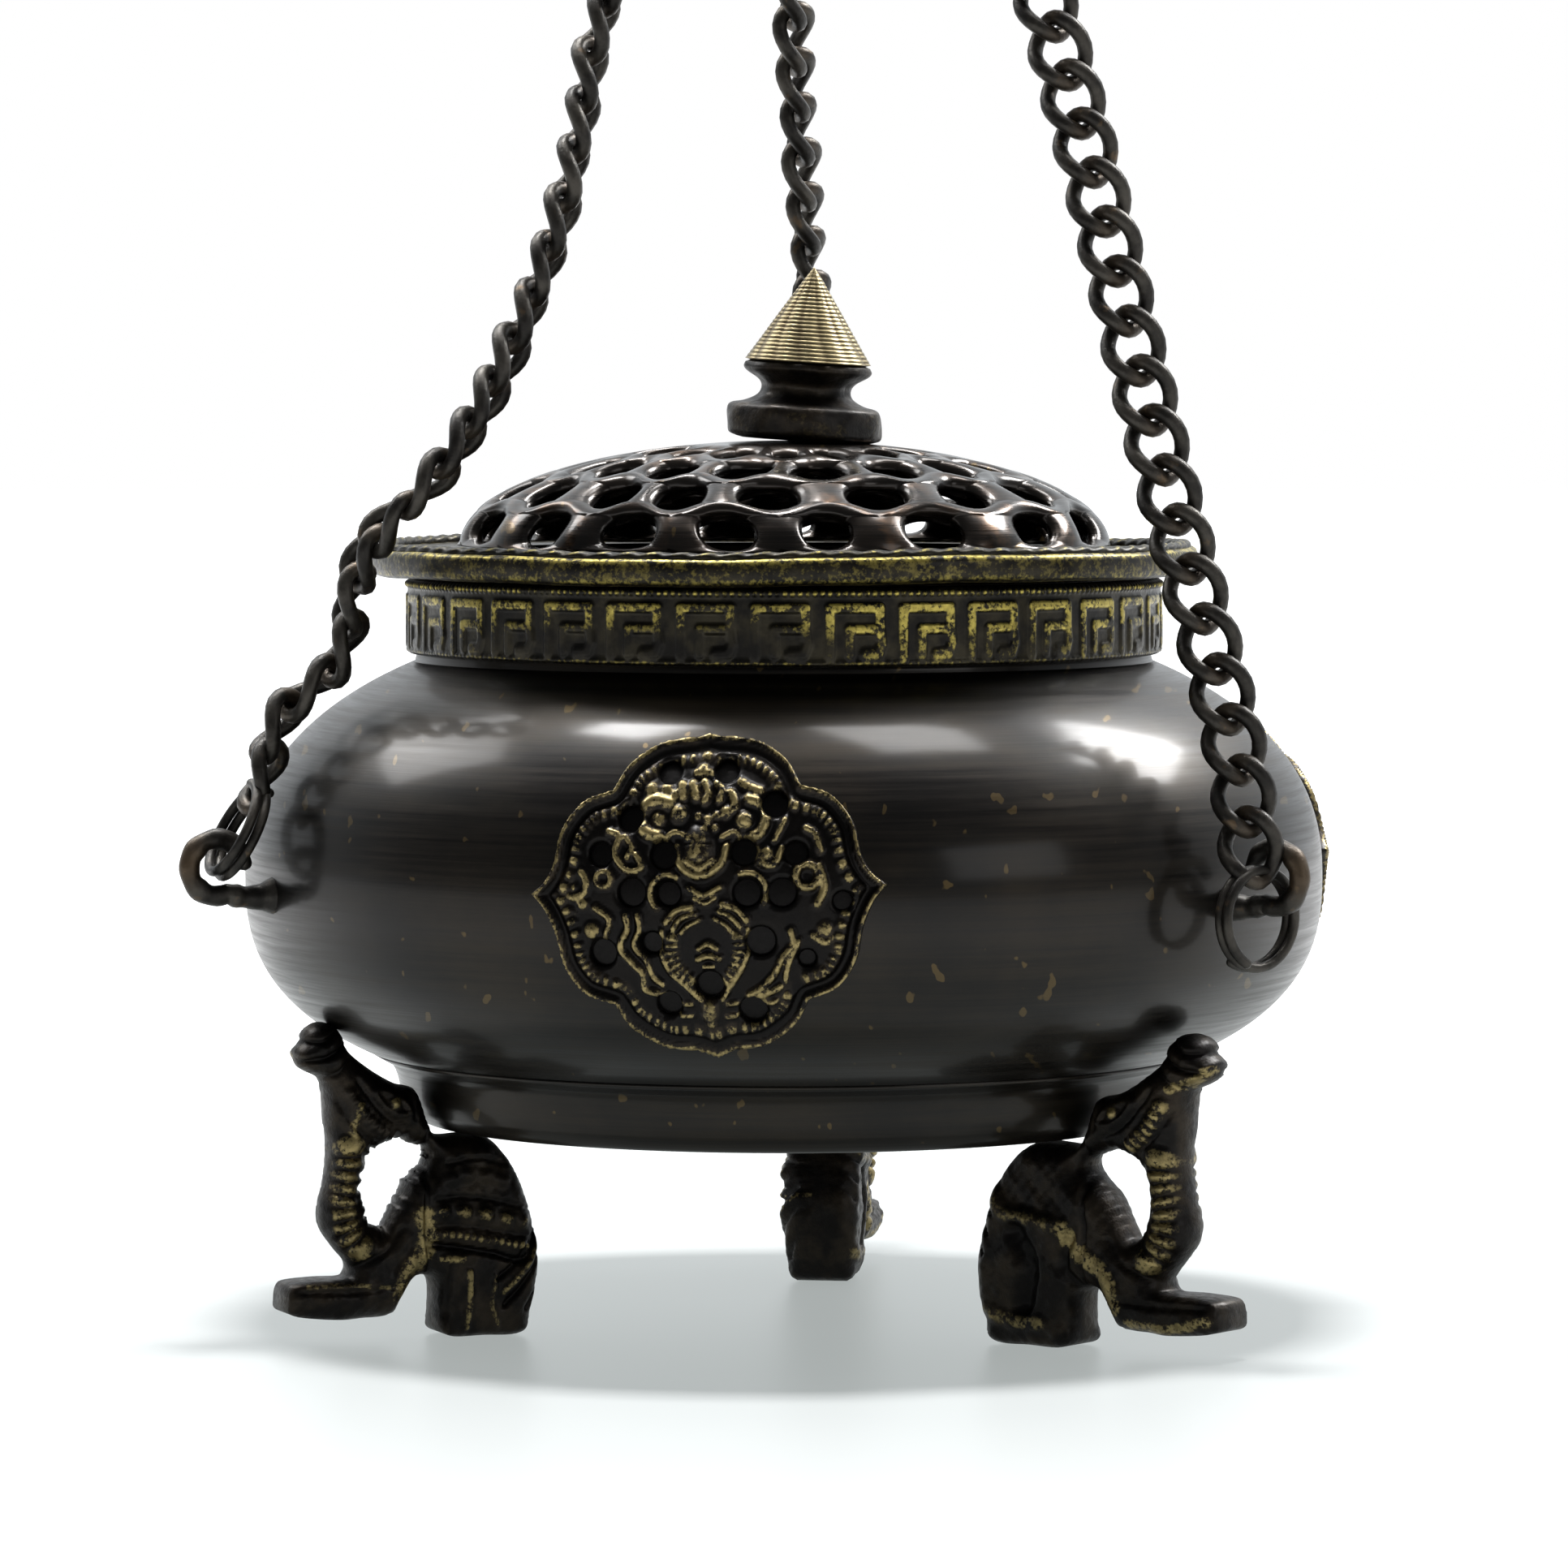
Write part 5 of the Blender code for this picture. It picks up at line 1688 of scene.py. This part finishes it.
@dataclass(frozen=True)
class Panel:
    """A soft light: a lit rectangle that faces a point on the bowl."""

    name: str
    place: Point
    size: tuple[float, float]
    watts: float
    reach: Reach

    def build(self) -> None:
        """Hangs the light."""
        data = bpy.data.lights.new(self.name, "AREA")
        data.shape = "RECTANGLE"
        data.size, data.size_y = self.size
        data.energy = self.watts
        lamp = bpy.data.objects.new(self.name, data)
        lamp.location = self.place
        aim = Vector((0.0, 0.0, 0.06)) - Vector(self.place)
        lamp.rotation_euler = aim.to_track_quat("-Z", "Y").to_euler()
        lamp.visible_glossy = self.reach is Reach.SHINE
        lamp.visible_diffuse = self.reach is Reach.FLOOR
        bpy.context.scene.collection.objects.link(lamp)


@dataclass
class Studio:
    """The camera, a white floor that runs to the horizon and glows with painted light, an even white room and soft
    panels over the bowl.
    """

    lens: float = 165.6
    camera_place: Point = (0.1065, -0.7576, 0.0993)
    camera_turn: Point = (86.82, 0.0, 8.0)
    floor_radius: float = 6.0
    # The floor's glow round the bowl: a painted shadow colour.
    shadow: Point = rgba(0.345, 0.37, 0.365)
    panels: tuple[Panel, ...] = (
        Panel("softbox_far_left", (-0.60, 0.30, 0.71), (0.40, 0.34), 4.1, Reach.SHINE),
        Panel("softbox_left", (-0.19, 0.25, 0.91), (0.34, 0.16), 10.0, Reach.SHINE),
        Panel("softbox_right", (0.18, 0.18, 0.93), (0.32, 0.24), 4.6, Reach.SHINE),
        Panel("softbox_far_right", (0.50, 0.42, 0.69), (0.34, 0.28), 11.0, Reach.SHINE),
        Panel("side_window", (0.80, -0.55, 0.32), (0.45, 0.30), 0.9, Reach.SHINE),
        Panel("overhead_key", (0.0, 0.0, 1.30), (0.24, 0.24), 44.0, Reach.FLOOR),
    )

    def build_camera(self) -> None:
        """Places the camera."""
        data = bpy.data.cameras.new("camera")
        data.lens, data.sensor_width = self.lens, 36.0
        camera = bpy.data.objects.new("camera", data)
        camera.location = self.camera_place
        camera.rotation_euler = [math.radians(a) for a in self.camera_turn]
        bpy.context.scene.collection.objects.link(camera)
        bpy.context.scene.camera = camera

    def build_floor(self) -> None:
        """Lays the floor, a disc of rings and spokes at height 0. It glows with painted light: the painted shadow
        colour round the bowl, white further out.
        """
        radius = self.floor_radius * np.linspace(0.02, 1, 12)[:, None] ** 2
        angle = np.linspace(0, 2 * math.pi, 48, endpoint=False)
        points = np.stack([radius * np.cos(angle), radius * np.sin(angle), 0 * radius * angle], axis=-1)
        faces = grid_faces(12, 48, False, True)[:, ::-1]
        mesh = bpy.data.meshes.new("floor")
        mesh.from_pydata([*points.reshape(-1, 3).tolist()], [], [*faces.tolist(), list(range(48))])
        nodes = Nodes("white_floor")
        away = nodes.add("ShaderNodeVectorMath", {"operation": "LENGTH"}, {0: nodes.place((1, 1, 0))}, "Value")
        # Painted light: the floor glows, in the painted shadow colour near the bowl and white from 300 mm out.
        glow = nodes.mix(away.ramp(60.0, 300.0), self.shadow, rgba(1.0, 1.0, 1.0))
        mesh.materials.append(nodes.finish(base_color=rgba(0.20, 0.205, 0.205), roughness=0.4, specular_ior_level=0.15,
                                           emission_color=glow, emission_strength=1.08))
        floor = bpy.data.objects.new("floor", mesh)
        floor.location.z = -0.0002
        bpy.context.scene.collection.objects.link(floor)

    def build_room(self) -> None:
        """Lights the room: white for the camera, and for reflections darker in front of the bowl than behind it."""
        world = bpy.data.worlds.new("room")
        world.use_nodes = True
        bpy.context.scene.world = world
        tree = world.node_tree
        node = tree.nodes.new
        coordinates, split = node("ShaderNodeTexCoord"), node("ShaderNodeSeparateXYZ")
        ramp = node("ShaderNodeMapRange")
        path, mix, seen = node("ShaderNodeLightPath"), node("ShaderNodeMixShader"), node("ShaderNodeBackground")
        lit = tree.nodes["Background"]
        tree.links.new(coordinates.outputs["Generated"], split.inputs[0])
        tree.links.new(split.outputs["Y"], ramp.inputs[0])
        for key, value in {1: -0.2, 2: 0.85, 3: 0.16, 4: 1.0}.items():
            ramp.inputs[key].default_value = value
        tree.links.new(ramp.outputs[0], lit.inputs["Strength"])
        lit.inputs["Color"].default_value = rgba(0.93, 0.97, 1.0)
        seen.inputs["Color"].default_value = rgba(1.0, 1.0, 1.0)
        seen.inputs["Strength"].default_value = 1.0
        tree.links.new(path.outputs["Is Camera Ray"], mix.inputs[0])
        tree.links.new(lit.outputs[0], mix.inputs[1])
        tree.links.new(seen.outputs[0], mix.inputs[2])
        tree.links.new(mix.outputs[0], tree.nodes["World Output"].inputs["Surface"])

    def build(self) -> None:
        """Builds the studio."""
        self.build_camera()
        self.build_floor()
        self.build_room()
        for panel in self.panels:
            panel.build()
        bpy.context.scene.view_settings.view_transform = "Standard"


def main() -> None:
    """Builds the studio and then the censer, piece by piece."""
    logging.basicConfig(level=logging.INFO, format="%(name)s: %(message)s")
    Studio().build()
    hanger = Hanger().build()
    belly = Belly()
    rings, hooks = SplitRing(), ChainHook(belly)
    for side in Side:
        hooks.build(side)
        rings.build(side)
        CurbChain().build(side, ROUTES[side], FACING[side], hanger)
    belly.build()
    FretBand().build()
    LidFlange().build()
    PiercedDome().build()
    Finial().build()
    for side in Side:
        ElephantFoot().build(side)
    medallion = Medallion(belly)
    for name, degrees, tilt in (("front", 270.0, 2.0), ("right_back", 30.0, 0.0), ("left_back", 150.0, 0.0)):
        medallion.build(name, degrees, tilt)


if __name__ == "__main__":
    main()
